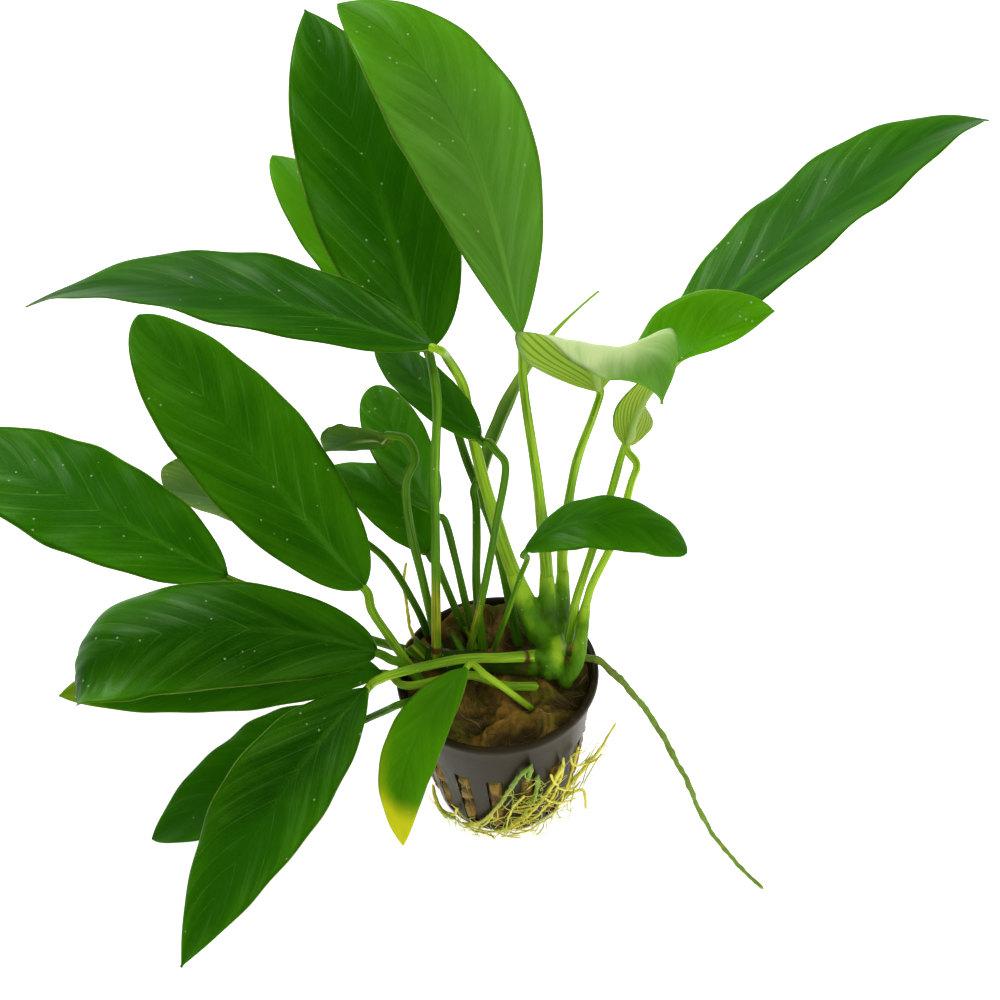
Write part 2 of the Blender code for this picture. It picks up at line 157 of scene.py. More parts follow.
def step(low, high, value):
    """0 below low, 1 above high, and an S-curve between them."""
    t = np.clip((value - low) / (high - low), 0, 1)
    return t * t * (3 - 2 * t)


# %% [markdown]
# ## From arrays to pieces
# A piece is a mesh whose places are already where the solid is, on an object that stays at the
# origin. Values that a material needs at each place, such as how ripe or how pale it is, go in as
# attributes. The last lines tell the frame what the piece rides on and what it stands for.

# %% Pieces
def add_piece(name, places, faces, surface, stands_for, values=None):
    """places are in millimetres. values gives one number, or three, at each place."""
    mesh = bpy.data.meshes.new(name)
    mesh.from_pydata((np.asarray(places) * MM).tolist(), [], faces)
    for key, numbers in (values or {}).items():
        numbers = np.asarray(numbers, np.float32)
        kind, field = ("FLOAT", "value") if numbers.ndim == 1 else ("FLOAT_VECTOR", "vector")
        mesh.attributes.new(key, kind, "POINT").data.foreach_set(field, numbers.ravel())
    mesh.shade_smooth()
    mesh.materials.append(surface)
    piece = bpy.data.objects.new(name, mesh)
    bpy.context.scene.collection.objects.link(piece)
    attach(piece, "root")
    if stands_for:
        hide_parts(*stands_for)
    return piece


def joined(parts):
    """Several (places, faces, values) as one; every part has the same values."""
    offsets = np.cumsum([0, *(len(places) for places, _, _ in parts)])
    faces = [[corner + start for corner in face] for (_, some, _), start in zip(parts, offsets)
             for face in some]
    values = {key: np.concatenate([part[2][key] for part in parts]) for key in parts[0][2]}
    return np.vstack([places for places, _, _ in parts]), faces, values


def tube(line, radii, sides=12, round_ends=True, **values):
    """A closed tube: each ring is the line's point plus radius times a turn round side and other.
    Near an end the radius follows a quarter circle. Its skin value holds the cosine and sine of
    the turn and the length, so that a pattern on it has no seam."""
    side, other = frames(line)
    far = lengths(line)
    radii = np.broadcast_to(radii, len(line)).astype(float)
    if round_ends:
        to_end = np.minimum(far, far[-1] - far)
        radii = radii * np.sqrt(np.clip(1 - (1 - np.minimum(to_end / radii, 1)) ** 2, 0.02, 1))
    turn = np.linspace(0, 2 * np.pi, sides, endpoint=False)
    spokes = np.cos(turn)[:, None] * side[:, None] + np.sin(turn)[:, None] * other[:, None]
    places, faces = closed_sleeve(line[:, None] + radii[:, None, None] * spokes)
    skin = np.stack(np.broadcast_arrays(np.cos(turn)[None, :], np.sin(turn)[None, :], far[:, None]), -1)
    skin = np.vstack([skin.reshape(-1, 3), skin[0, 0], skin[-1, 0]])
    made = {"skin": skin}
    for key, numbers in values.items():
        rows = np.broadcast_to(np.asarray(numbers, float), len(line))
        made[key] = np.concatenate([np.repeat(rows, sides), [rows[0], rows[-1]]])
    return places, faces, made


# %% [markdown]
# ## Materials: a short way to write them
# A material is a graph, and the graph is easier to read when each node is one line. `node` places
# one and connects it, and `mix`, `maths`, `ramp` and `centred` are the ones that are used the most.

# %% Node helpers
def node(tree, kind, links=None, **settings):
    """A shader node of this kind. links gives an input, by name or number, a socket or a value."""
    made = tree.nodes.new("ShaderNode" + kind)
    for key, value in settings.items():
        setattr(made, key, value)
    for key, value in (links or {}).items():
        if isinstance(value, bpy.types.NodeSocket):
            tree.links.new(value, made.inputs[key])
        else:
            made.inputs[key].default_value = value
    return made


def mix(tree, share, first, second, way="MIX"):
    """first where share is 0 and second where it is 1."""
    first, second = ((*c, 1.0) if isinstance(c, tuple) else c for c in (first, second))
    return node(tree, "Mix", {0: share, 6: first, 7: second}, data_type="RGBA", blend_type=way).outputs[2]


def maths(tree, way, *values, clamp=False):
    """The value of one sum, product or comparison."""
    return node(tree, "Math", dict(enumerate(values)), operation=way, use_clamp=clamp).outputs[0]


def ramp(tree, value, low, high, to_low=0.0, to_high=1.0):
    """value taken from low..high to to_low..to_high with a soft start and end."""
    links = {0: value, 1: low, 2: high, 3: to_low, 4: to_high}
    return node(tree, "MapRange", links, interpolation_type="SMOOTHSTEP").outputs[0]


def centred(tree, value, amount):
    """value less one half, times amount: a change that goes up and down from nothing."""
    return maths(tree, "MULTIPLY", maths(tree, "SUBTRACT", value, 0.5), amount)


def attribute(tree, name):
    """The node that reads a piece's own value."""
    return node(tree, "Attribute", attribute_name=name)


def new_material(name):
    """An empty material: its tree and the node that everything ends in."""
    made = bpy.data.materials.new(name)
    made.use_nodes = True
    made.node_tree.nodes.clear()
    return made, made.node_tree, node(made.node_tree, "OutputMaterial")


def new_group(name, inputs, outputs):
    """An empty node group with these named inputs and outputs, its two ends included."""
    group = bpy.data.node_groups.new(name, "ShaderNodeTree")
    for label, (kind, default) in inputs.items():
        socket = group.interface.new_socket(label, in_out="INPUT", socket_type="NodeSocket" + kind)
        if default is not None:
            socket.default_value = default
    for label, kind in outputs.items():
        group.interface.new_socket(label, in_out="OUTPUT", socket_type="NodeSocket" + kind)
    start = group.nodes.new("NodeGroupInput").outputs
    return group, start, group.nodes.new("NodeGroupOutput").inputs


def use(tree, group, **links):
    """The outputs of a group, placed in tree."""
    return node(tree, "Group", links, node_tree=group).outputs


# %% [markdown]
# ## Three effects that the materials share
# Blotches make every green thing lighter and darker over a centimetre or so. Streaks are the long
# fine lines of stalks, roots and fibres: noise that is squeezed round the stalk and stretched along
# it. Flecks are the small pale grains that water leaves on everything.

# %% Shared groups
def blotch_group():
    """Three octaves of noise on the object's own place, stretched to use the whole of 0 to 1."""
    inputs = {"Scale": ("Float", 60.0), "Contrast": ("Float", 1.0)}
    group, start, end = new_group("blotches", inputs, {"Value": "Float"})
    place = node(group, "TexCoord").outputs["Object"]
    links = {"Vector": place, "Scale": start["Scale"], "Detail": 3.0, "Roughness": 0.6}
    noise = node(group, "TexNoise", links).outputs[0]
    wide = centred(group, noise, start["Contrast"])
    group.links.new(maths(group, "ADD", maths(group, "MULTIPLY", wide, 2.2), 0.5, clamp=True),
                    end["Value"])
    return group


def streak_group():
    """Noise read at (cos, sin, length) of a tube, with the length squeezed: lines that run along."""
    inputs = {"Fineness": ("Float", 6.0), "Stretch": ("Float", 0.05)}
    group, start, end = new_group("streaks", inputs, {"Value": "Float"})
    skin = node(group, "SeparateXYZ", {0: attribute(group, "skin").outputs["Vector"]}).outputs
    squeezed = maths(group, "MULTIPLY", skin[2], start["Stretch"])
    place = node(group, "CombineXYZ", {0: skin[0], 1: skin[1], 2: squeezed}).outputs[0]
    links = {"Vector": place, "Scale": start["Fineness"], "Detail": 3.0, "Roughness": 0.65}
    group.links.new(node(group, "TexNoise", links).outputs[0], end["Value"])
    return group


def fleck_group():
    """A small disc in a few of the cells of a Voronoi pattern, and none where a slow noise is low."""
    inputs = {"Scale": ("Float", 500.0), "Size": ("Float", 0.2), "Share": ("Float", 0.06)}
    group, start, end = new_group("flecks", inputs, {"Mask": "Float"})
    place = node(group, "TexCoord").outputs["Object"]
    cells = node(group, "TexVoronoi", {"Vector": place, "Scale": start["Scale"]}).outputs
    chosen = node(group, "SeparateColor", {0: cells["Color"]}).outputs[0]
    few = maths(group, "LESS_THAN", chosen, start["Share"])
    disc = maths(group, "LESS_THAN", cells["Distance"], start["Size"])
    slow = node(group, "TexNoise", {"Vector": place, "Scale": 45.0}).outputs[0]
    there = maths(group, "GREATER_THAN", slow, 0.47)
    both = maths(group, "MULTIPLY", few, disc)
    group.links.new(maths(group, "MULTIPLY", both, there), end["Mask"])
    return group


BLOTCHES, STREAKS, FLECKS = blotch_group(), streak_group(), fleck_group()
print("shared groups:", [group.name for group in (BLOTCHES, STREAKS, FLECKS)])

# %% [markdown]
# ## The skin of a blade
# The blade is a waxy, leathery sheet. Light that falls on it comes back dark green, and light that
# goes through it comes out bright yellow-green, which is why thin and bent places glow over a white
# ground. So the material is two shaders: a Principled one for the wax and a Translucent one for what
# comes through, and on top of that a painted glow lightens the margins and both ends. Between the side
# veins lie bands of painted light and shade, and the sheen of the wax follows them. Along the midrib
# the green is paler, with painted shade in its furrow, the side veins are fine light lines, the
# margin is brown in places and painted light elsewhere, the underside is grey-green, painted sheen
# whitens some blades, one tip is pale, and old tips go yellow.

# %% Blade material
DEEP_GREEN = (0.008, 0.056, 0.0003)
FRESH_GREEN = (0.085, 0.310, 0.002)
VEIN_LIGHT = (0.190, 0.450, 0.070)
RIB_LIGHT = (0.220, 0.450, 0.060)
FURROW_PAINTED_SHADE = (0.006, 0.035, 0.001)
PALE_SHEEN_WHITE = (0.760, 0.840, 0.420)
GREY_GREEN = (0.060, 0.105, 0.018)
PALE_GREEN = (0.500, 0.620, 0.080)
UNDER_LINE = (0.060, 0.110, 0.012)
KEEL_PALE = (0.500, 0.640, 0.220)
RIPE_YELLOW = (0.740, 0.780, 0.015)
MARGIN_BROWN = (0.060, 0.045, 0.018)
MARGIN_PAINTED_GLOW = (0.420, 0.580, 0.100)
FLECK_WHITE = (0.500, 0.560, 0.360)
GLOW_GREEN = (0.260, 0.700, 0.004)
GLOW_FRESH = (0.460, 0.880, 0.010)
GLOW_GOLD = (0.980, 0.930, 0.100)
WAX_SHEEN = (0.75, 1.0, 0.40, 1.0)
BLADE_GLOW = 0.34  # share of the light that goes through one side of the blade


def painted_shade_bands(tree, across, off, count, own):
    """Painted light and shade between the side veins: noise about 0 that is long across the blade and
    short along it. It is another one on each half, and on each blade by the blade's own number."""
    side = maths(tree, "MULTIPLY_ADD", maths(tree, "SIGN", across), 3.0, own)
    out = maths(tree, "MULTIPLY", off, 0.55)
    place = node(tree, "CombineXYZ", {0: count, 1: out, 2: side}).outputs[0]
    links = {"Vector": place, "Scale": 1.3, "Detail": 4.0, "Roughness": 0.6}
    return centred(tree, node(tree, "TexNoise", links).outputs[0], ramp(tree, off, 0.0, 0.25))


def vein_lines(tree, off, count, worn):
    """Thin lines where the vein count is whole, worn in places and gone at the margin, and finer
    ones between them."""
    main = ramp(tree, maths(tree, "PINGPONG", count, 0.5), 0.0, 0.06, 1.0, 0.0)
    small = maths(tree, "PINGPONG", maths(tree, "MULTIPLY", count, 5.0), 0.5)
    inner = ramp(tree, off, 0.80, 1.0, 1.0, 0.0)
    main = maths(tree, "MULTIPLY", maths(tree, "MULTIPLY", main, inner), worn)
    return main, ramp(tree, small, 0.0, 0.22, 1.0, 0.0)


def with_midrib(tree, green, along, off, rib_pale):
    """A pale band that narrows from the neck and fades before the tip, and painted shade in the furrow
    over it that grows clearer where the band fades."""
    band = maths(tree, "MULTIPLY_ADD", along, -0.095, 0.115)
    rib = ramp(tree, maths(tree, "DIVIDE", off, band), 0.3, 1.0, 1.0, 0.0)
    rib = maths(tree, "MULTIPLY", rib, ramp(tree, along, 0.0, 0.55, 1.0, 0.0))
    green = mix(tree, maths(tree, "MULTIPLY", rib, rib_pale), green, RIB_LIGHT)
    # painted shade in the groove over the midrib
    furrow_shade = maths(tree, "MULTIPLY", ramp(tree, off, 0.0, 0.025, 1.0, 0.0),
                   ramp(tree, along, 0.15, 0.5, 0.1, 0.55))
    return mix(tree, furrow_shade, green, FURROW_PAINTED_SHADE)


def pale_sheen_share(tree, pale_sheen, shade_bands, under):
    """How much painted sheen whitens a blade, and how pale a tip is: more in the painted light bands, and
    little on the underside.
    """
    share = maths(tree, "MULTIPLY_ADD", maths(tree, "MULTIPLY", shade_bands, pale_sheen), 2.2, pale_sheen)
    share = maths(tree, "MINIMUM", maths(tree, "MAXIMUM", share, 0.0), 1.0)
    above = maths(tree, "SUBTRACT", 1.0, maths(tree, "MULTIPLY", under, 0.85))
    return maths(tree, "MULTIPLY", share, above)


def underside(tree, tone, along, off, count):
    """Grey-green to pale, with dark lines beside the veins and a pale keel under the midrib."""
    below = mix(tree, tone, GREY_GREEN, PALE_GREEN)
    beside = maths(tree, "PINGPONG", maths(tree, "MULTIPLY", count, 2.0), 0.5)
    dark_line = maths(tree, "MULTIPLY", ramp(tree, beside, 0.22, 0.5, 0.0, 0.75), ramp(tree, off, 0.08, 0.2))
    below = mix(tree, dark_line, below, UNDER_LINE)
    keel = maths(tree, "MULTIPLY", ramp(tree, off, 0.05, 0.12, 1.0, 0.0),
                 ramp(tree, along, 0.1, 0.7, 0.8, 0.0))
    return mix(tree, keel, below, KEEL_PALE)


def blade_material():
    """Reads blade (along 0..1, across -1..1, vein count), look (tone, yellow, underside) and
    midrib_sheen_seed (paleness of the midrib, painted sheen over the blade and on one leaf a pale tip,
    a number of its own)."""
    made, tree, end = new_material("waxy_blade")
    blade, look, midrib_sheen_seed = (node(tree, "SeparateXYZ", {0: attribute(tree, key).outputs["Vector"]}).outputs
                        for key in ("blade", "look", "midrib_sheen_seed"))
    along, across, count = blade
    tone, yellow, under = look
    rib_pale, pale_sheen, own = midrib_sheen_seed
    off = maths(tree, "ABSOLUTE", across)

    # how light the green is from place to place: blotches, and bands of painted light and shade
    shade_bands = painted_shade_bands(tree, across, off, count, own)
    broad = use(tree, BLOTCHES, Scale=38.0, Contrast=0.55)["Value"]
    fine = use(tree, BLOTCHES, Scale=260.0, Contrast=0.5)["Value"]
    worn = use(tree, BLOTCHES, Scale=85.0, Contrast=1.3)["Value"]
    uneven = maths(tree, "ADD", centred(tree, broad, 0.52), centred(tree, fine, 0.10))
    uneven = maths(tree, "MULTIPLY_ADD", shade_bands, 0.9, uneven)
    green = mix(tree, maths(tree, "ADD", tone, uneven, clamp=True), DEEP_GREEN, FRESH_GREEN)

    # veins, midrib with its painted furrow shade, and painted sheen on the upper side, and then the underside
    main, small = vein_lines(tree, off, count, worn)
    lines = maths(tree, "ADD", maths(tree, "MULTIPLY", main, 0.26), maths(tree, "MULTIPLY", small, 0.03))
    green = with_midrib(tree, mix(tree, lines, green, VEIN_LIGHT), along, off, rib_pale)
    # painted sheen whitens some blades; on one leaf the same share is its pale tip
    green = mix(tree, pale_sheen_share(tree, pale_sheen, shade_bands, under), green, PALE_SHEEN_WHITE)
    colour = mix(tree, under, green, underside(tree, tone, along, off, count))

    # what age and water leave: yellow, a margin that is brown in places, and flecks; elsewhere the margin is
    # painted light, the glow of the thin edge
    gold = maths(tree, "ADD", yellow, centred(tree, broad, 0.25))
    gold = maths(tree, "MULTIPLY", ramp(tree, gold, 0.05, 1.0), ramp(tree, yellow, 0.0, 0.3))
    colour = mix(tree, gold, colour, RIPE_YELLOW)
    # the margin: brown in some places, and painted glow in the rest
    edge = maths(tree, "MULTIPLY", ramp(tree, off, 0.972, 0.992), 0.8)
    margin_brown_and_glow = mix(tree, ramp(tree, worn, -0.2, 0.35), MARGIN_BROWN, MARGIN_PAINTED_GLOW)
    colour = mix(tree, edge, colour, margin_brown_and_glow)
    flecks = maths(tree, "MULTIPLY", use(tree, FLECKS, Scale=620.0, Size=0.2, Share=0.05)["Mask"], 0.75)
    colour = mix(tree, flecks, colour, FLECK_WHITE)

    relief = maths(tree, "ADD", maths(tree, "MULTIPLY", main, 0.6), maths(tree, "MULTIPLY", small, 0.35))
    pores = node(tree, "TexNoise", {"Vector": node(tree, "TexCoord").outputs["Object"],
                                    "Scale": 1500.0, "Detail": 2.0}).outputs[0]
    relief = maths(tree, "ADD", relief, maths(tree, "MULTIPLY", pores, 0.5))
    bump = node(tree, "Bump", {"Strength": 0.22, "Distance": 0.0002, "Height": relief}).outputs[0]
    rough = maths(tree, "ADD", ramp(tree, broad, 0.0, 1.0, 0.34, 0.46), maths(tree, "MULTIPLY", under, 0.2))

    # the sheen is a coat that lies on the painted light bands, most where the blade faces the eye
    facing = node(tree, "LayerWeight", {"Blend": 0.5}).outputs["Facing"]
    coat = maths(tree, "MULTIPLY", ramp(tree, shade_bands, -0.02, 0.16, 0.0, 0.24),
                 ramp(tree, facing, 0.3, 0.65, 1.0, 0.05))
    wax = node(tree, "BsdfPrincipled", {"Base Color": colour, "Roughness": rough, "Normal": bump,
                                        "Specular IOR Level": 0.06, "Specular Tint": WAX_SHEEN,
                                        "Coat Weight": coat, "Coat Roughness": 0.36})
    through = mix(tree, maths(tree, "MULTIPLY", tone, 0.8), GLOW_GREEN, GLOW_FRESH)
    through = mix(tree, gold, through, GLOW_GOLD)
    through = mix(tree, maths(tree, "MULTIPLY", under, 0.35), through, colour)
    glow = node(tree, "BsdfTranslucent", {"Color": through, "Normal": bump})
    both = node(tree, "MixShader", {0: BLADE_GLOW, 1: wax.outputs[0], 2: glow.outputs[0]})
    tree.links.new(both.outputs[0], end.inputs["Surface"])
    return made


WAXY_BLADE = blade_material()
print("made", WAXY_BLADE.name)

# %% [markdown]
# ## The skin of stalks, roots and rhizome
# Stalks are fleshy: bright yellow-green, their own colour with painted light where light goes through
# them, dark olive on the old thin ones, with brown scars near the foot. Roots are the same flesh,
# from leaf green to straw yellow. Streaks along them and a few flecks carry all of it.

# %% Stalk and root materials
OLIVE = (0.026, 0.068, 0.002)
STALK_GREEN = (0.085, 0.240, 0.004)
# the bright yellow-green is partly the stalk's own colour and partly painted light that goes through it
STALK_LIGHT = (0.400, 0.640, 0.030)
SCAR_BROWN = (0.100, 0.048, 0.012)
AMBER = (0.420, 0.360, 0.020)
WATER_GRAIN = (0.600, 0.550, 0.350)
ROOT_OLIVE = (0.140, 0.170, 0.020)
ROOT_GREEN = (0.190, 0.340, 0.020)
ROOT_YELLOW = (0.860, 0.780, 0.090)
ROOT_STREAK = (0.220, 0.130, 0.020)


def end_in_flesh(tree, end, colour, rough, bump, gloss, radius, depth):
    """A Principled shader that lets a little light in under its surface, as the material's end.
    radius is how far each colour goes, and depth scales all three, in metres."""
    flesh = node(tree, "BsdfPrincipled", {"Base Color": colour, "Roughness": rough, "Normal": bump,
                                          "Specular IOR Level": gloss, "Subsurface Weight": 0.3,
                                          "Subsurface Radius": radius, "Subsurface Scale": depth})
    tree.links.new(flesh.outputs[0], end.inputs["Surface"])


def stalk_material():
    """Reads skin, and tone (0 olive to 1 bright), scar (0 to 1) and amber (0 to 1)."""
    made, tree, end = new_material("fleshy_stalk")
    tone, scar, amber = (attribute(tree, key).outputs["Fac"] for key in ("tone", "scar", "amber"))
    streaks = use(tree, STREAKS, Fineness=1.6, Stretch=0.03)["Value"]
    threads = use(tree, STREAKS, Fineness=6.0, Stretch=0.03)["Value"]
    hairline = use(tree, STREAKS, Fineness=16.0, Stretch=0.02)["Value"]
    blotches = use(tree, BLOTCHES, Scale=110.0, Contrast=0.8)["Value"]
    uneven = maths(tree, "MULTIPLY_ADD", maths(tree, "SUBTRACT", threads, 0.5), 0.3,
                   centred(tree, streaks, 1.3))
    shade = maths(tree, "ADD", tone, uneven)
    low = ramp(tree, shade, 0.0, 0.55)
    high = ramp(tree, shade, 0.5, 1.15)
    colour = mix(tree, high, mix(tree, low, OLIVE, STALK_GREEN), STALK_LIGHT)
    gold = ramp(tree, maths(tree, "ADD", amber, maths(tree, "MULTIPLY", uneven, 1.2)), 0.3, 0.7)
    gold = maths(tree, "MULTIPLY", gold, ramp(tree, amber, 0.0, 0.15))
    colour = mix(tree, gold, colour, AMBER)
    mark = maths(tree, "ADD", scar, centred(tree, blotches, 0.9))
    mark = maths(tree, "MULTIPLY", ramp(tree, mark, 0.42, 0.7), ramp(tree, scar, 0.0, 0.2))
    colour = mix(tree, mark, colour, SCAR_BROWN)
    flecks = maths(tree, "MULTIPLY", use(tree, FLECKS, Scale=900.0, Size=0.22, Share=0.05)["Mask"], 0.5)
    colour = mix(tree, flecks, colour, WATER_GRAIN)
    height = maths(tree, "ADD", maths(tree, "MULTIPLY", hairline, 0.6), maths(tree, "MULTIPLY", mark, -0.6))
    bump = node(tree, "Bump", {"Strength": 0.35, "Distance": 0.0003, "Height": height}).outputs[0]
    rough = ramp(tree, blotches, 0.0, 1.0, 0.33, 0.5)
    end_in_flesh(tree, end, colour, rough, bump, 0.08, (0.6, 1.0, 0.1), 0.0012)
    return made


def root_material():
    """Reads skin and tone: 0 olive, 0.5 green and 1 straw yellow."""
    made, tree, end = new_material("fleshy_root")
    tone = attribute(tree, "tone").outputs["Fac"]
    streaks = use(tree, STREAKS, Fineness=4.0, Stretch=0.25)["Value"]
    blotches = use(tree, BLOTCHES, Scale=240.0, Contrast=1.0)["Value"]
    shade = maths(tree, "ADD", tone, centred(tree, blotches, 0.35))
    colour = mix(tree, ramp(tree, shade, 0.0, 0.5), ROOT_OLIVE, ROOT_GREEN)
    colour = mix(tree, ramp(tree, shade, 0.5, 1.0), colour, ROOT_YELLOW)
    colour = mix(tree, ramp(tree, streaks, 0.52, 0.7, 0.0, 0.3), colour, ROOT_STREAK)
    rings = node(tree, "SeparateXYZ", {0: attribute(tree, "skin").outputs["Vector"]}).outputs[2]
    rings = maths(tree, "SINE", maths(tree, "MULTIPLY", rings, 7.0))
    height = maths(tree, "ADD", maths(tree, "MULTIPLY", rings, 0.15), blotches)
    bump = node(tree, "Bump", {"Strength": 0.4, "Distance": 0.0003, "Height": height}).outputs[0]
    rough = ramp(tree, streaks, 0, 1, 0.4, 0.6)
    end_in_flesh(tree, end, colour, rough, bump, 0.35, (1.0, 0.9, 0.2), 0.001)
    return made


FLESHY_STALK, FLESHY_ROOT = stalk_material(), root_material()
print("made", FLESHY_STALK.name, "and", FLESHY_ROOT.name)

# %% [markdown]
# ## Wool and plastic
# Rock wool is a felt of mineral fibres. Soaked and aged it is brown, with olive where algae live
# and orange where it rusts, and wet enough to glint. The pot is thin moulded plastic, brown-black,
# with a satin skin that is a little cloudy where water has dried on it.

# %% Wool and pot materials
WOOL_BROWN, WOOL_RUST = (0.095, 0.068, 0.005), (0.250, 0.130, 0.010)
WOOL_ALGAE = (0.150, 0.140, 0.006)
FELT_LIGHT, FELT_DARK = (0.400, 0.230, 0.040), (0.018, 0.010, 0.002)
CREST_PAINTED_LIGHT, FOLD_PAINTED_SHADE = (0.480, 0.250, 0.030), (0.022, 0.013, 0.002)
FIBRE_BROWN, FIBRE_AMBER, FIBRE_STRAW = (0.050, 0.026, 0.008), (0.240, 0.130, 0.035), (0.600, 0.480, 0.230)
PLASTIC_DARK, PLASTIC_WORN = (0.014, 0.010, 0.005), (0.030, 0.022, 0.010)
DRIED_WATER = (0.090, 0.065, 0.030)
PLASTIC_SHEEN = (1.0, 0.88, 0.60, 1.0)


def wool_material():
    """Reads crest_shade, how far a place stands above its surroundings: crests get painted light and folds
    painted shade.
    """
    made, tree, end = new_material("wet_rock_wool")
    place = node(tree, "TexCoord").outputs["Object"]
    crest_shade = attribute(tree, "crest_shade").outputs["Fac"]
    felt = node(tree, "TexNoise", {"Vector": place, "Scale": 420.0, "Detail": 7.0,
                                   "Roughness": 0.75, "Distortion": 1.2}).outputs[0]
    area = use(tree, BLOTCHES, Scale=95.0, Contrast=1.2)["Value"]
    algae = use(tree, BLOTCHES, Scale=60.0, Contrast=1.5)["Value"]
    colour = mix(tree, ramp(tree, area, 0.2, 0.8), WOOL_BROWN, WOOL_RUST)
    colour = mix(tree, ramp(tree, algae, 0.3, 0.65, 0.0, 0.85), colour, WOOL_ALGAE)
    colour = mix(tree, ramp(tree, felt, 0.50, 0.72, 0.0, 0.7), colour, FELT_LIGHT)
    colour = mix(tree, ramp(tree, felt, 0.48, 0.30, 0.0, 0.7), colour, FELT_DARK)
    # painted light on the crests and painted shade in the folds
    colour = mix(tree, ramp(tree, crest_shade, 0.5, 1.0, 0.0, 0.6), colour, CREST_PAINTED_LIGHT)
    colour = mix(tree, ramp(tree, crest_shade, 0.4, 0.0, 0.0, 0.7), colour, FOLD_PAINTED_SHADE)
    bump = node(tree, "Bump", {"Strength": 0.9, "Distance": 0.0012, "Height": felt}).outputs[0]
    rough = ramp(tree, felt, 0.3, 0.7, 0.35, 0.75)
    wet = node(tree, "BsdfPrincipled", {"Base Color": colour, "Roughness": rough, "Normal": bump,
                                        "Specular IOR Level": 0.25})
    tree.links.new(wet.outputs[0], end.inputs["Surface"])
    return made


def fibre_material():
    """One thin fibre: straw to brown, by its own tone."""
    made, tree, end = new_material("wool_fibre")
    tone = attribute(tree, "tone").outputs["Fac"]
    colour = mix(tree, ramp(tree, tone, 0.0, 0.6), FIBRE_BROWN, FIBRE_AMBER)
    colour = mix(tree, ramp(tree, tone, 0.6, 1.0), colour, FIBRE_STRAW)
    fine = use(tree, BLOTCHES, Scale=400.0, Contrast=1.0)["Value"]
    rough = ramp(tree, fine, 0, 1, 0.35, 0.6)
    wet = node(tree, "BsdfPrincipled", {"Base Color": colour, "Roughness": rough})
    tree.links.new(wet.outputs[0], end.inputs["Surface"])
    return made


def pot_material():
    """Brown-black plastic: a cloudy film over fine moulding marks, duller where it has been rubbed."""
    made, tree, end = new_material("moulded_plastic")
    place = node(tree, "TexCoord").outputs["Object"]
    film = use(tree, BLOTCHES, Scale=45.0, Contrast=1.0)["Value"]
    grain = node(tree, "TexNoise", {"Vector": place, "Scale": 1300.0, "Detail": 2.0}).outputs[0]
    tall = node(tree, "Mapping", {0: place, 3: (1.0, 1.0, 0.12)}).outputs[0]
    runs = node(tree, "TexNoise", {"Vector": tall, "Scale": 260.0, "Detail": 3.0}).outputs[0]
    colour = mix(tree, film, PLASTIC_DARK, PLASTIC_WORN)
    colour = mix(tree, ramp(tree, runs, 0.55, 0.8, 0.0, 0.3), colour, DRIED_WATER)
    rough = maths(tree, "ADD", ramp(tree, film, 0.0, 1.0, 0.30, 0.44),
                  ramp(tree, runs, 0.5, 0.8, 0.0, 0.15))
    height = maths(tree, "ADD", grain, maths(tree, "MULTIPLY", runs, 0.8))
    bump = node(tree, "Bump", {"Strength": 0.12, "Distance": 0.0002, "Height": height}).outputs[0]
    plastic = node(tree, "BsdfPrincipled", {"Base Color": colour, "Roughness": rough, "Normal": bump,
                                            "Specular IOR Level": 0.12, "Specular Tint": PLASTIC_SHEEN})
    tree.links.new(plastic.outputs[0], end.inputs["Surface"])
    return made


WET_WOOL, WOOL_FIBRE, PLASTIC = wool_material(), fibre_material(), pot_material()
print("made", WET_WOOL.name, WOOL_FIBRE.name, PLASTIC.name)

# %% [markdown]
# ## The leaves' own numbers
# Each leaf has a stalk, given by a few places on its centre line, and a blade, given by its neck,
# its tip, its width and how it is bowed, rolled and folded. They are in millimetres and degrees.
# The rest says how it looks, as shares of 1: `tone` is how fresh its green is, `yellow` how yellow
# its tip is, `old` how scarred the stalk's foot is, and `amber` how amber the stalk's lower half.

# %% Leaf table
class Leaf(NamedTuple):
    """One leaf: stalk places from the root up, radii at the root and the neck, and the blade."""

    stalk: tuple
    radii: tuple
    neck: tuple
    tip: tuple
    width: float
    bow: tuple = (0, 0, 0)  # how far the midrib's arc stands off its chord
    tip_bow: tuple | None = None  # the same towards the tip, where it differs
    skew: float = 0  # share by which the right-hand half is wider and the left narrower
    roll: float = 0  # degrees about the midrib, the right-hand half down
    twist: float = 0  # degrees of roll lost from the neck to the tip
    fold: float = 8  # degrees that each half is folded up, at the neck
    tip_fold: float | None = None  # the same at the tip, where it differs
    base: float = 0.75  # outline exponent at the neck: small is blunt
    point: float = 0.8  # outline exponent at the tip
    ripple: float = 0  # height of the waves along the margins
    waves: float = 2.5
    turn: float = 0  # degrees that the blade's level line is turned about Z
    tone: float = 0.4
    yellow: float = 0.0
    stalk_tone: float = 0.5  # 0 is olive and 1 a light yellow-green
    old: float = 0.15
    amber: float = 0.0
    sunk: float = 4.0  # how much further the stalk goes down into what it grows from
    rib: float = 0.15  # how pale the midrib is near the neck
    swell: float = 1.0  # how strongly the blade swells between its side veins
    pale_sheen: float = 0.0  # painted sheen that whitens the blade; below 0, how pale its tip is
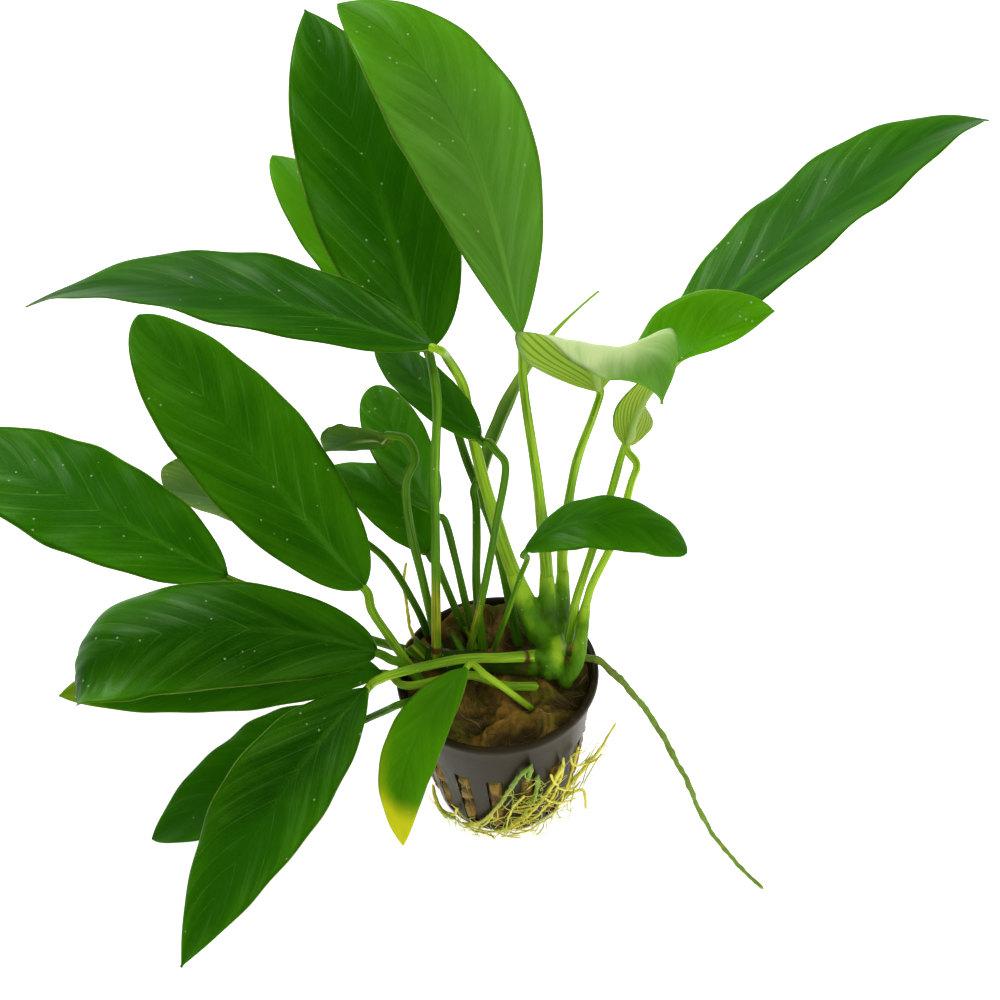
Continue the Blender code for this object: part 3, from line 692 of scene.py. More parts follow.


LEAVES = (
    # the two tallest, side by side at the back, and a narrow one behind them
    # the first one's paler midrib and its pale_sheen paint a sheen band along its middle
    Leaf(((15, 12, 68.2), (15, 14, 77), (14, 18, 101), (12, 24, 127)), (1.95, 1.05),
         (12, 29, 141), (-29, 108, 190), 35.5, bow=(6, 3, 10), tip_bow=(11, 3, 10), base=0.85,
         point=0.75, tone=0.62, stalk_tone=0.85, sunk=10, rib=0.6, pale_sheen=0.06),
    Leaf(((-16, 4, 52.6), (-14, 11, 81), (-12, 14.5, 110.5), (-10, 18, 131), (-11, 31, 134)), (1.3, 1.2),
         (-12, 42, 127), (-39, 125, 178), 38, bow=(-1, 4, 10), fold=6, base=0.55, point=1.0,
         tone=0.08, stalk_tone=0.5, old=0.3, amber=0.5, sunk=5, swell=3),
    Leaf(((6, 13, 46.5), (2, 30, 68), (-4, 41, 86), (-8, 49, 98)), (1.5, 1.1),
         (-16, 59, 107), (-54, 129, 128), 23, bow=(2, 0, 3), point=0.7, tone=0.6, stalk_tone=0.4),
    # the long one that points left
    Leaf(((7, 13, 68), (4, 17, 79), (0, 23, 98), (-2.5, 31, 111), (-3.5, 38.5, 117), (-7, 37.5, 128)),
         (2.2, 1.1), (-10, 28, 140), (-116, 60, 136), 34, bow=(0, 3, 5), tip_bow=(0, 5, 12),
         roll=10, twist=-22, point=0.85, tone=0.02, stalk_tone=0.9, sunk=10),
    # the left side, from top to bottom
    Leaf(((-23, 2.8, 46.5), (-28, 4, 59), (-32, 6.5, 67.5)), (1.3, 1.2),
         (-34, 11, 72), (-92, 82, 112), 36, bow=(-2, 0, 3), fold=4, base=0.55, point=0.62,
         tone=0.22, stalk_tone=0.8),
    Leaf(((-22, 6.4, 49.6), (-43, 20, 46), (-60, 32, 47)), (1.3, 1.2),
         (-74, 36, 53), (-152, 78, 74), 37.5, bow=(0, -2, 4), fold=4, base=0.65, point=0.62,
         tone=0.08, stalk_tone=0.5, swell=2.5),
    Leaf(((-20.5, -1.5, 46.5), (-25, 0, 52.5), (-28, -1.5, 56.5)), (1.3, 1.2),
         (-32, 1, 57), (-114, 0, 47), 35, bow=(0, 8, 8), tip_bow=(-21, 8, 13), roll=-20, twist=-20,
         fold=-25, tip_fold=-5, base=0.55, point=0.35, ripple=4, waves=0.65,
         tone=0.14, stalk_tone=0.45, swell=3),
    Leaf(((9.5, -7.5, 48.5), (1, -7.5, 50), (-8, -4.5, 51.5), (-24, -5.5, 50)), (1.2, 1.1),
         (-31, 1, 48), (-121, 8, 40), 26, bow=(0, 3, 2), roll=-14, fold=6,
         tone=0.12, yellow=0.35, stalk_tone=0.8, sunk=1.5),
    Leaf(((8.5, -2, 54.6), (1, -3.6, 56.6), (-10, -2.8, 56.2), (-26, -7, 57.5), (-31, -8, 56.5)),
         (1.45, 1.15), (-35, -6.5, 51), (-89, -60, 6), 31.5, bow=(-1.5, 0, 6), base=0.8, point=1.0,
         tone=0.12, stalk_tone=0.82, old=0.3),
    Leaf(((-17, -7, 46.9), (-26, -12, 50.5), (-30, -10, 46)), (1.1, 1.0),
         (-38, -7, 38), (-98, -22, 12), 32, bow=(1, -1, 4), base=0.6, point=0.75,
         tone=0.02, stalk_tone=0.3),
    # the small yellowing one that hangs in front of the pot
    Leaf(((6, -11, 46.9), (2, -11.5, 53), (-3, -9.5, 57)), (0.9, 0.9),
         (-8, -7, 57), (-28, -40, 26), 16, bow=(-6, -2, 5), fold=4, base=0.65, point=0.75,
         tone=0.75, yellow=1.15, stalk_tone=0.9, sunk=8),
    # the small arched one in front of the right-hand stalks
    Leaf(((-0.6, 8, 46.5), (4, 6, 64), (8, 4, 80), (10, 0, 91)), (0.8, 0.75),
         (10, -2, 96), (50, -8, 97), 19, bow=(-3, 4, 7.5), tip_bow=(2, 4.5, 7), fold=-5, base=0.55,
         point=0.5, tone=0.24, stalk_tone=0.55),
    # the long one that points right
    Leaf(((21.4, 3, 64), (22.5, 4, 70), (27, 8.6, 82), (33, 18, 94), (38, 31, 99), (45, 45, 104)),
         (1.2, 1.0), (50, 53, 113), (145, 106, 140), 42, bow=(-1, -2, 1), tip_bow=(2, 6, 14), roll=-20,
         point=0.9, tone=0.06, stalk_tone=0.85, sunk=10),
    # the bright one below it, strongly twisted, and the arched one beside that, pale with painted sheen
    Leaf(((25, 3.5, 68.5), (27, 5, 74.5), (34, 9, 89), (38, 15, 100), (40, 19, 103)), (1.2, 1.0),
         (38, 23, 107), (79, 50, 125), 25, bow=(-9, -2, 7), tip_bow=(-2, 0, 8), skew=-0.45, roll=-25,
         twist=-190, fold=30, tip_fold=10, base=0.45, point=0.85, tone=0.85, yellow=0.1,
         stalk_tone=0.95, sunk=10),
    Leaf(((19.3, 14, 66.2), (20, 18, 76), (24, 22, 100), (29, 22, 118)), (1.7, 1.0),
         (31, 25, 125), (45, 5, 137), 41, bow=(-6, 3, 13), tip_bow=(5, 3, 15), skew=0.25, roll=-12,
         fold=12, tip_fold=5, base=0.85, point=1.3, turn=-15, tone=0.8, stalk_tone=0.85, sunk=10,
         pale_sheen=0.95),
    # small ones among the stalks, on thin stalks that hook over at the top
    Leaf(((-7.5, 7.4, 46.5), (-2, 7, 72), (3, 10, 96), (6, 12, 112), (4, 12, 118), (2, 14, 120)),
         (1.1, 1.0), (0, 16, 119), (-26, 62, 115), 14, bow=(-2, -2, 4), fold=6, base=0.6,
         tone=0.15, stalk_tone=0.4, old=0.4, amber=0.35),
    Leaf(((-5.5, 12.5, 46.5), (-7, 13.5, 58), (-9, 18, 73), (-11, 22, 84)), (1.1, 1.0),
         (-14, 24, 86), (-29, 76, 85), 17, bow=(-1, 0, 1), fold=4, base=0.55, point=0.5,
         tone=0.3, stalk_tone=0.32),
    Leaf(((-8, 14.5, 46.5), (-12, 16, 64), (-14, 16, 74)), (1.1, 1.0),
         (-16, 18, 76), (-42, 52, 78), 18, bow=(2, 2, 3), fold=4, base=0.6,
         tone=0.2, stalk_tone=0.3, old=0.4),
    Leaf(((-16, 11.4, 46.5), (-18, 12, 72), (-20, 16, 88), (-20, 18, 103), (-17, 20, 110),
          (-19, 25, 112)), (1.2, 1.1),
         (-24, 29, 110), (-43, 53, 83), 16, bow=(0, 0, 1), roll=50, tone=0.05, stalk_tone=0.38),
    Leaf(((-18, 14, 46.5), (-21, 16, 58), (-28, 26, 66), (-37, 33, 70)), (1.1, 1.0),
         (-42, 35, 69), (-94, 76, 50), 30, bow=(0, 0, 2), roll=80, point=0.5,
         tone=0.05, stalk_tone=0.3, old=0.4),
    Leaf(((-3.6, 10.2, 46.5), (-4, 16.5, 62.5), (-3, 22, 76), (-2.5, 28, 83)), (1.3, 1.1),
         (-2, 32, 87), (34, 62, 126), 9, bow=(-3, 0, 0), tip_bow=(-8, 0, 1), roll=-80, base=0.8,
         point=1.6, tone=0.1, stalk_tone=0.4, rib=0.6, pale_sheen=-0.7),
)
print(len(LEAVES), "leaves")

# %% [markdown]
# ## A blade as a sleeve
# The blade's middle surface is a function of u, along the midrib, and v, across it. The real blade
# is about half a millimetre thick, thinner at its margin, with a rib under the middle that is as thick
# as the stalk at the neck and fades towards the tip. So every row of the grid becomes a closed ring:
# once over the top from the left margin to the right, and back below. The rings close at both ends.

# %% Blade surface
HALF_THICKNESS = 0.2
NECK_HALF_WIDTH = 0.9
TIP_HALF_WIDTH = 0.4
VEINS = 9  # side veins on each half
BOW_PULL = 4 / 3  # a cubic's inner control points stand off this much further than its arc
MARGIN_WAVES = (1.5, 3.0, 5.5)  # slow waves of the margins over the blade's length
MARGIN_LIFT = 0.022  # their height, as a share of the half width
SWELL_LIFT = 0.014  # height of the swellings between the veins, the same way
NECK_FADE = 3.5  # how far from the neck the blade's round end goes flat
GROOVE_DEPTH, GROOVE_WIDTH = 0.22, 0.7  # the groove over the midrib
RIB_DEPTH = 1.3  # how far the rib stands out below, in radii of the neck


def midrib(leaf, u):
    """Places and directions on the cubic from the neck to the tip that stands off its chord by
    leaf.bow near the neck and by leaf.tip_bow near the tip."""
    neck, tip, bow = (np.asarray(value, float) for value in (leaf.neck, leaf.tip, leaf.bow))
    tip_bow = bow if leaf.tip_bow is None else np.asarray(leaf.tip_bow, float)
    first = neck + (tip - neck) / 3 + BOW_PULL * bow
    second = tip - (tip - neck) / 3 + BOW_PULL * tip_bow
    u = u[:, None]
    places = ((1 - u) ** 3 * neck + 3 * u * (1 - u) ** 2 * first
              + 3 * u ** 2 * (1 - u) * second + u ** 3 * tip)
    return places, unit((1 - u) ** 2 * (first - neck) + 2 * u * (1 - u) * (second - first)
                        + u ** 2 * (tip - second))


def blade_frame(leaf, u):
    """The midrib's places, and at each the direction across the blade and the one out of its top."""
    places, along = midrib(leaf, u)
    level = np.cross(np.subtract(leaf.tip, leaf.neck), UP)
    level = unit(np.array(Matrix.Rotation(math.radians(leaf.turn), 3, "Z")) @ level)
    side = unit(level - along * (along @ level)[:, None])
    over = np.cross(side, along)
    angle = np.radians(leaf.roll + leaf.twist * (0.5 - u))[:, None]
    return places, side * np.cos(angle) - over * np.sin(angle), over * np.cos(angle) + side * np.sin(angle)


def half_width(leaf, u):
    """u to the power base times (1 - u) to the power point, scaled to leaf.width / 2 at its most."""
    widest = leaf.base / (leaf.base + leaf.point)
    shape = u ** leaf.base * (1 - u) ** leaf.point
    half = leaf.width / 2 * shape / (widest ** leaf.base * (1 - widest) ** leaf.point)
    return np.maximum(half, NECK_HALF_WIDTH + (TIP_HALF_WIDTH - NECK_HALF_WIDTH) * u)


def vein_count(u, v):
    """Side veins leave the midrib at a slant and bend forward: u less a bit of |v| and |v| squared,
    times the number of veins."""
    far = np.abs(v)
    return VEINS * (u - 0.28 * far - 0.08 * far ** 2 * (1 - u))


def middle_surface(leaf, number, u, v):
    """Places of the blade's middle by u (rows) and v (columns): out along the width, up by the
    fold, whose crease is rounded, and up and down by the ripples and by swellings between veins."""
    places, across, top = blade_frame(leaf, u)
    u, half = u[:, None], half_width(leaf, u)[:, None] * (1 + leaf.skew * np.sign(v))
    tip_fold = leaf.fold if leaf.tip_fold is None else leaf.tip_fold
    fold = np.radians(leaf.fold + (tip_fold - leaf.fold) * u)
    far = np.abs(v)
    crease = (np.sqrt(v ** 2 + 0.01) - 0.1) / (math.sqrt(1.01) - 0.1)
    wave = np.sin(2 * np.pi * (leaf.waves * u + 0.25 * np.sign(v)))
    lift = half * crease * np.sin(fold) + leaf.ripple * wave * far ** 3 * half / (leaf.width / 2)
    rng = np.random.default_rng(40 + number)
    for count in MARGIN_WAVES:
        turns = np.where(v < 0, *rng.uniform(0, 2 * np.pi, 2))
        lift = lift + MARGIN_LIFT * half * far ** 2 * np.sin(2 * np.pi * count * u + turns)
    swell = np.cos(2 * np.pi * vein_count(u, v))
    lift = lift - leaf.swell * SWELL_LIFT * half * swell * far * (1 - far ** 2)
    flat = half * v * np.cos(fold)
    return places[:, None] + flat[..., None] * across[:, None] + lift[..., None] * top[:, None]


def blade_sleeve(leaf, number, rows=84, columns=35):
    """The middle surface moved out along its normal by the half thickness, on top with a shallow
    groove over the midrib and below with the rib."""
    u = 0.5 - 0.5 * np.cos(np.pi * np.linspace(0, 1, rows))
    x = np.linspace(-1, 1, columns)
    v = 0.5 * x + 0.5 * x ** 3
    middle = middle_surface(leaf, number, u, v)
    normal = unit(np.cross(np.gradient(middle, axis=1), np.gradient(middle, axis=0)))
    long = lengths(midrib(leaf, u)[0])[-1]
    away = half_width(leaf, u)[:, None] * v
    neck_radius = leaf.radii[1]
    u = u[:, None]
    taper = 1 - u
    round_neck = (neck_radius - HALF_THICKNESS) * np.exp(-(u * long / NECK_FADE) ** 2)
    thick = (HALF_THICKNESS + round_neck) * np.sqrt(1 - np.abs(v) ** 5)
    groove = GROOVE_DEPTH * taper * np.exp(-(away / GROOVE_WIDTH) ** 2) * step(0.02, 0.12, u)
    rib_width = neck_radius * (0.35 + 0.65 * taper)
    rib = (RIB_DEPTH * neck_radius * taper ** 1.5 + 0.1) * np.exp(-(away / rib_width) ** 2)
    rib = rib * step(0.0, 0.05, u)
    over = middle + (thick - groove)[..., None] * normal
    below = middle - (thick + rib)[..., None] * normal
    back = slice(columns - 2, 0, -1)
    places, faces = closed_sleeve(np.concatenate([over, below[:, back]], 1))
    return places, faces, np.concatenate([v, v[back]]), u, columns


def blade_values(leaf, v, u, columns):
    """The material's values at each place of the sleeve, its two poles last. Yellow comes back from
    the tip, and further along the right-hand margin. A painted glow lightens the margins and both ends."""
    along, across = np.broadcast_arrays(u, v)
    under = np.broadcast_to(np.arange(len(v)) >= columns, along.shape).astype(float)
    one_edge = step(0.0, 1.15, across) * step(0.1, 0.9, along)
    yellow = leaf.yellow * np.clip(1.2 * step(0.68, 1.0, along) + 0.5 * one_edge, 0, 1)
    # painted glow of light through the thin margins and ends: the tone rises there
    painted_glow = np.abs(across) ** 1.5 + 1.2 * (along - 0.45) ** 2
    tone = leaf.tone + 0.3 * (painted_glow - 0.45)
    blade = np.stack([along, across, vein_count(along, across)], -1).reshape(-1, 3)
    # pale_sheen above 0 is painted sheen over the blade, and below 0 the tip's own paleness
    if leaf.pale_sheen < 0:
        pale_sheen = -leaf.pale_sheen * step(0.35, 0.75, along)
        tone = tone + 1.2 * pale_sheen
    else:
        pale_sheen = leaf.pale_sheen * (1 - 0.9 * step(0.45, 0.85, along))
    look = np.stack([tone, yellow, under], -1).reshape(-1, 3)
    own = 7.0 * leaf.tone + leaf.width
    midrib_sheen_seed = np.stack(np.broadcast_arrays(leaf.rib, pale_sheen, own), -1).reshape(-1, 3)
    ends = [0, -len(v)]
    return {"blade": np.vstack([blade, blade[ends]]), "look": np.vstack([look, look[ends]]),
            "midrib_sheen_seed": np.vstack([midrib_sheen_seed, midrib_sheen_seed[ends]])}


for number, leaf in enumerate(LEAVES, start=1):
    places, faces, v, u, columns = blade_sleeve(leaf, number)
    add_piece(f"blade_{number:02d}", places, faces, WAXY_BLADE, [f"leaf_{number:02d}"],
              blade_values(leaf, v, u, columns))
print("blades of", len(faces), "faces each")

# %% [markdown]
# ## Stalks that run into their blades
# A stalk goes on as the blade's midrib, so its tube bends into the blade's direction and ends
# inside the blade's round neck. At its foot it is thicker, and it goes down into the wool or the
# rhizome, where the solid stops short.

# %% Stalks
NECK_LEAD = 2.0  # how far before the neck the stalk takes on the blade's direction
NECK_OVERLAP = 1.5
TAPER = 0.6
SHEATHED = 8  # stalks that are sunk at least this deep start in a sheath and have no swollen foot


def stalk_line(leaf):
    """The stalk's places, with one sunk below the first and two in the blade's direction."""
    places, directions = midrib(leaf, np.zeros(1))
    neck, ahead = places[0], directions[0]
    first, second = np.asarray(leaf.stalk[0], float), np.asarray(leaf.stalk[1], float)
    foot = first - leaf.sunk * unit(second - first)
    line = smooth_line([foot, *leaf.stalk, neck - NECK_LEAD * ahead, neck + NECK_OVERLAP * ahead], 12)
    return even_line(line, int(lengths(line)[-1] / 1.1) + 12)


def stalk_tube(leaf, number):
    """The radius falls from the root to the neck as the length to the power TAPER, with a slow
    unevenness on top of it and a swelling at the foot. An old foot has a brown ring."""
    line = stalk_line(leaf)
    far = lengths(line)
    share = np.clip((far - leaf.sunk) / (far[-1] - leaf.sunk), 0, 1)
    radii = leaf.radii[0] + (leaf.radii[1] - leaf.radii[0]) * share ** TAPER
    radii = radii * (1 + 0.035 * waves(line, 14, 60 + number))
    foot = far - leaf.sunk
    if leaf.sunk < SHEATHED:
        radii = radii * (1 + 0.1 * np.exp(-np.clip(foot, 0, None) / 3.0))
    tone = leaf.stalk_tone + 0.10 * waves(line, 25, 90 + number)
    ring = step(0.25, 0.3, leaf.old) * np.exp(-((foot - 0.6) / 1.2) ** 2)
    scar = np.maximum(leaf.old * np.exp(-np.clip(foot, 0, None) / 9.0), 0.8 * ring)
    amber = leaf.amber * step(34, 16, foot)
    return tube(line, radii, 14, tone=tone, scar=scar, amber=amber)


for number, leaf in enumerate(LEAVES, start=1):
    places, faces, values = stalk_tube(leaf, number)
    add_piece(f"stalk_skin_{number:02d}", places, faces, FLESHY_STALK, [f"stalk_{number:02d}"],
              values)
print("stalks made")

# %% [markdown]
# ## The rhizome and its crown
# The creeping stem, the crown and the swollen feet of the thick stalks are one grown body with
# soft hollows between its limbs. Tubes that overlap are joined by a voxel remesh, which forgets
# where one ends and the next begins, and a smoothing rounds the hollows. After that, the body is
# roughened, and each place gets its tone and its scars from its height and from how near it is to
# a few chosen spots.

# %% Rhizome
RHIZOME = (((-20, 6, 49), 2.8), ((-12, 3, 49), 3.1), ((-3, 2, 49), 2.9), ((6, 0, 49.2), 3.2),
           ((13, -1, 50), 3.6))
CROWN = (((13.5, -6, 49.6), 3.2), ((14.5, -1, 50.4), 4.2), ((15, 5, 51), 4.4), ((15.5, 10, 51.5), 3.2))
SHEATHS = (
    (((13.5, 6, 50), 4.2), ((10.5, 8.5, 58), 3.4), ((7.4, 12.6, 67), 2.5), ((6, 14.2, 72), 2.1)),
    (((14.8, 7, 50), 3.6), ((14.8, 9.6, 58), 2.8), ((15, 11.7, 67), 2.2), ((15, 13, 72), 1.8)),
    (((16.5, 7, 50), 3.4), ((18.4, 10.8, 57), 2.6), ((19.2, 13.5, 65), 2.0), ((19.6, 15.4, 70), 1.6)),
    (((17.2, -5.6, 45), 1.9), ((18.5, -5, 48), 2.2), ((21.4, -3.6, 52), 2.0), ((23.2, -0.4, 60), 1.8),
     ((24.2, 2, 65), 1.6), ((25, 3.5, 68.5), 1.3)),
)
# where the upper of the stalks that lie along the rhizome grows out of the crown
KNUCKLE = (((9, -1.9, 54.5), 1.45), ((12.2, -1.6, 54), 1.5), ((14.2, -0.4, 52.6), 1.7),
           ((14.8, 1.4, 51), 2.0))
VOXEL = 0.42
SMOOTHINGS = 6
PALE_SPOTS = (  # place, size and strength of the almost yellow flesh where the sheaths part
    ((18.3, 1.5, 57), 3.6, 1.0), ((16, -3, 53), 2.6, 0.5), ((13, 2, 59), 3.0, 0.6),
)
# a spot of painted shade, a spot of painted light, and how far each reaches
SHADED_SPOT, LIT_SPOT, SPOT_SIZE = (17, 10, 60), (22, -2, 56), 5.0


def limb(stations):
    """A tube through the stations, which are places with a radius each."""
    line = smooth_line([place for place, _ in stations], 10)
    known = np.arange(len(stations)) * 10
    radii = np.interp(np.arange(len(line)), known, [radius for _, radius in stations])
    return tube(line, radii, 20)


def melted(parts, voxel, rounds):
    """Places and faces of the parts after a voxel remesh and a smoothing."""
    places, faces, _ = joined(parts)
    mesh = bpy.data.meshes.new("melting")
    mesh.from_pydata((places * MM).tolist(), [], faces)
    helper = bpy.data.objects.new("melting", mesh)
    bpy.context.scene.collection.objects.link(helper)
    remesh = helper.modifiers.new("Remesh", "REMESH")
    remesh.mode = "VOXEL"
    remesh.voxel_size = voxel * MM
    smooth = helper.modifiers.new("Smooth", "SMOOTH")
    smooth.factor = 0.5
    smooth.iterations = rounds
    graph = bpy.context.evaluated_depsgraph_get()
    baked = bpy.data.meshes.new_from_object(helper.evaluated_get(graph))
    bpy.data.objects.remove(helper, do_unlink=True)
    places = np.empty(len(baked.vertices) * 3, np.float32)
    baked.vertices.foreach_get("co", places)
    normals = np.empty(len(baked.vertices) * 3, np.float32)
    baked.vertices.foreach_get("normal", normals)
    faces = [list(face.vertices) for face in baked.polygons]
    return places.reshape(-1, 3) / MM, faces, normals.reshape(-1, 3)


def near(places, spot, size):
    """1 at the spot and falling to nothing over about its size, like a bell."""
    return np.exp(-(((places - np.asarray(spot, float)) / size) ** 2).sum(-1))


def crown_values(places, low):
    """The old stem is dark and scarred, and the sheaths grow brighter upwards, the left one most.
    low is 1 at the foot and 0 in the sheaths. The joint of the sheaths is bright and unscarred.
    A painted shade darkens the crown round SHADED_SPOT and a painted light brightens it round LIT_SPOT."""
    x, _, z = places.T
    joint = sum(strength * near(places, spot, size) for spot, size, strength in PALE_SPOTS)
    stem = step(12, 4, x)
    left_sheath = step(13, 10, x) * step(52, 62, z)
    tone = 0.30 + 0.58 * step(56, 70, z) - 0.4 * stem * step(56, 53, z)
    # painted shade round one spot and painted light round another
    tone = tone + 1.25 * joint + 0.3 * left_sheath - 0.25 * near(places, SHADED_SPOT, SPOT_SIZE)
    tone = tone + 0.35 * near(places, LIT_SPOT, SPOT_SIZE)
    skin = places * np.array([0.12, 0.12, 0.6])
    scar = (0.12 * low + 0.3 * stem * low) * (1 - joint)
    return {"skin": skin, "tone": tone, "scar": scar, "amber": np.zeros(len(places))}


limbs = [limb(stations) for stations in (RHIZOME, CROWN, *SHEATHS, KNUCKLE)]
places, faces, normals = melted(limbs, VOXEL, SMOOTHINGS)
low = step(62, 50, places[:, 2])
places = places + normals * (low * (0.16 * waves(places, 5, 5) + 0.08 * waves(places, 2, 6)))[:, None]
add_piece("rhizome_skin", places, faces, FLESHY_STALK, ["rhizome"],
          crown_values(places, low))
print("rhizome of", len(faces), "faces")

# %% [markdown]
# ## Old stubs
# Behind the rhizome's end lies the hollow foot of a leaf that has rotted off, and two short green
# points are what is left of others. The hollow one is a sleeve whose wall turns in at the cut.

# %% Stubs
STUB_FOOT, STUB_CUT = (-18, 4.5, 47.5), (-23, 6.5, 53.5)
# share of the way to the cut, and radius: five rings outside and two inside
STUB_PROFILE = ((0, 1.6), (0.5, 2.1), (0.93, 2.4), (1.0, 2.2), (1.0, 1.75), (0.93, 1.5), (0.6, 1.2))
STUB_OUTSIDE = 5
STUB_SIDES = 28
POINTS = (((-8.5, 6.5, 46), (-10, 8.5, 49), (-12.5, 12.5, 52)),
          ((-5.5, 9, 45.5), (-6.5, 11, 48.5), (-8.5, 14, 50.5)))


def hollow_stub():
    """Rings along the axis, whose places and radii the profile gives: out to the cut and back in."""
    foot, cut = np.asarray(STUB_FOOT, float), np.asarray(STUB_CUT, float)
    share, radius = np.array(STUB_PROFILE).T
    side, other = (vectors[0] for vectors in frames(np.stack([foot, cut])))
    turn = np.linspace(0, 2 * np.pi, STUB_SIDES, endpoint=False)
    spokes = np.cos(turn)[:, None] * side + np.sin(turn)[:, None] * other
    rings = (foot + share[:, None] * (cut - foot))[:, None] + radius[:, None, None] * spokes
    rings = rings + 0.25 * waves(rings, 2.5, 70)[..., None] * spokes
    places, faces = closed_sleeve(rings)
    skin = np.stack(np.broadcast_arrays(np.cos(turn)[None, :], np.sin(turn)[None, :], 6 * share[:, None]), -1)
    skin = np.vstack([skin.reshape(-1, 3), skin[0, 0], skin[-1, 0]])
    inner = np.repeat(np.arange(len(share)) >= STUB_OUTSIDE, STUB_SIDES)
    scar = np.concatenate([np.where(inner, 1.0, 0.35), [0.3, 1.0]])
    return places, faces, {"skin": skin, "tone": 0.35 - 0.2 * scar, "scar": scar, "amber": 0.3 + 0 * scar}


parts = [hollow_stub()]
for route in POINTS:
    line = even_line(smooth_line(route, 8), 16)
    scar = np.linspace(0.1, 0.5, len(line))
    parts.append(tube(line, np.linspace(1.3, 0.5, len(line)), 10, tone=0.45, scar=scar, amber=0.0))
places, faces, values = joined(parts)
add_piece("old_stubs", places, faces, FLESHY_STALK, None, values)
print("old stubs of", len(faces), "faces")

# %% [markdown]
# ## The pot
# The pot is moulded in one: a thin tapering wall with sixteen upright slots, a flat floor and a
# rolled rim. Cutting slots out of a finished cup leaves ragged shading, so the wall is a grid of
# angle and height whose lines run along the slots' edges. The squares inside a slot are left out,
# and each opening gets its four side walls.

# %% Pot
RIM_RADIUS = 27.5
POT_HEIGHT = 47.0
BASE_RADIUS = 19.0
WALL = 1.2
WALL_TOP = 44.3
WALL_TOP_RADIUS = 26.3
SLOT_COUNT = 16
SLOT_WIDTH = 4.4
SLOT_LOW = 2.5
SLOT_HIGH = 28.5
SLOT_PHASE = -7.0
SLOT_STEPS = 5  # columns over a slot's width, and over the web between two slots
SLOT_ROWS = 8  # rows over a slot's height
SLOT_RADIUS = BASE_RADIUS + 4  # of the wall, half way up the slots


def wall_radius(height):
    """The outer radius of the wall, which grows evenly with height."""
    return BASE_RADIUS + (WALL_TOP_RADIUS - BASE_RADIUS) * height / WALL_TOP


def slot_columns():
    """Angles in radians from the front, and for each column whether it lies in a slot."""
    pitch = 2 * np.pi / SLOT_COUNT
    reach = SLOT_WIDTH / 2 / SLOT_RADIUS
    inside = np.linspace(-reach, reach, SLOT_STEPS + 1)
    between = np.linspace(reach, pitch - reach, SLOT_STEPS + 2)[1:-1]
    one = np.concatenate([inside, between])
    angles = (math.radians(SLOT_PHASE) + pitch * np.arange(SLOT_COUNT)[:, None] + one).ravel()
    open_column = np.tile(np.arange(len(one)) < SLOT_STEPS, SLOT_COUNT)
    return angles, open_column


def ring_places(radius, height, angles):
    """Places at these radii and heights (rows) and angles from the front (columns)."""
    radius, height = np.asarray(radius, float)[:, None], np.asarray(height, float)[:, None]
    return np.stack(np.broadcast_arrays(radius * np.sin(angles), -radius * np.cos(angles), height), -1)


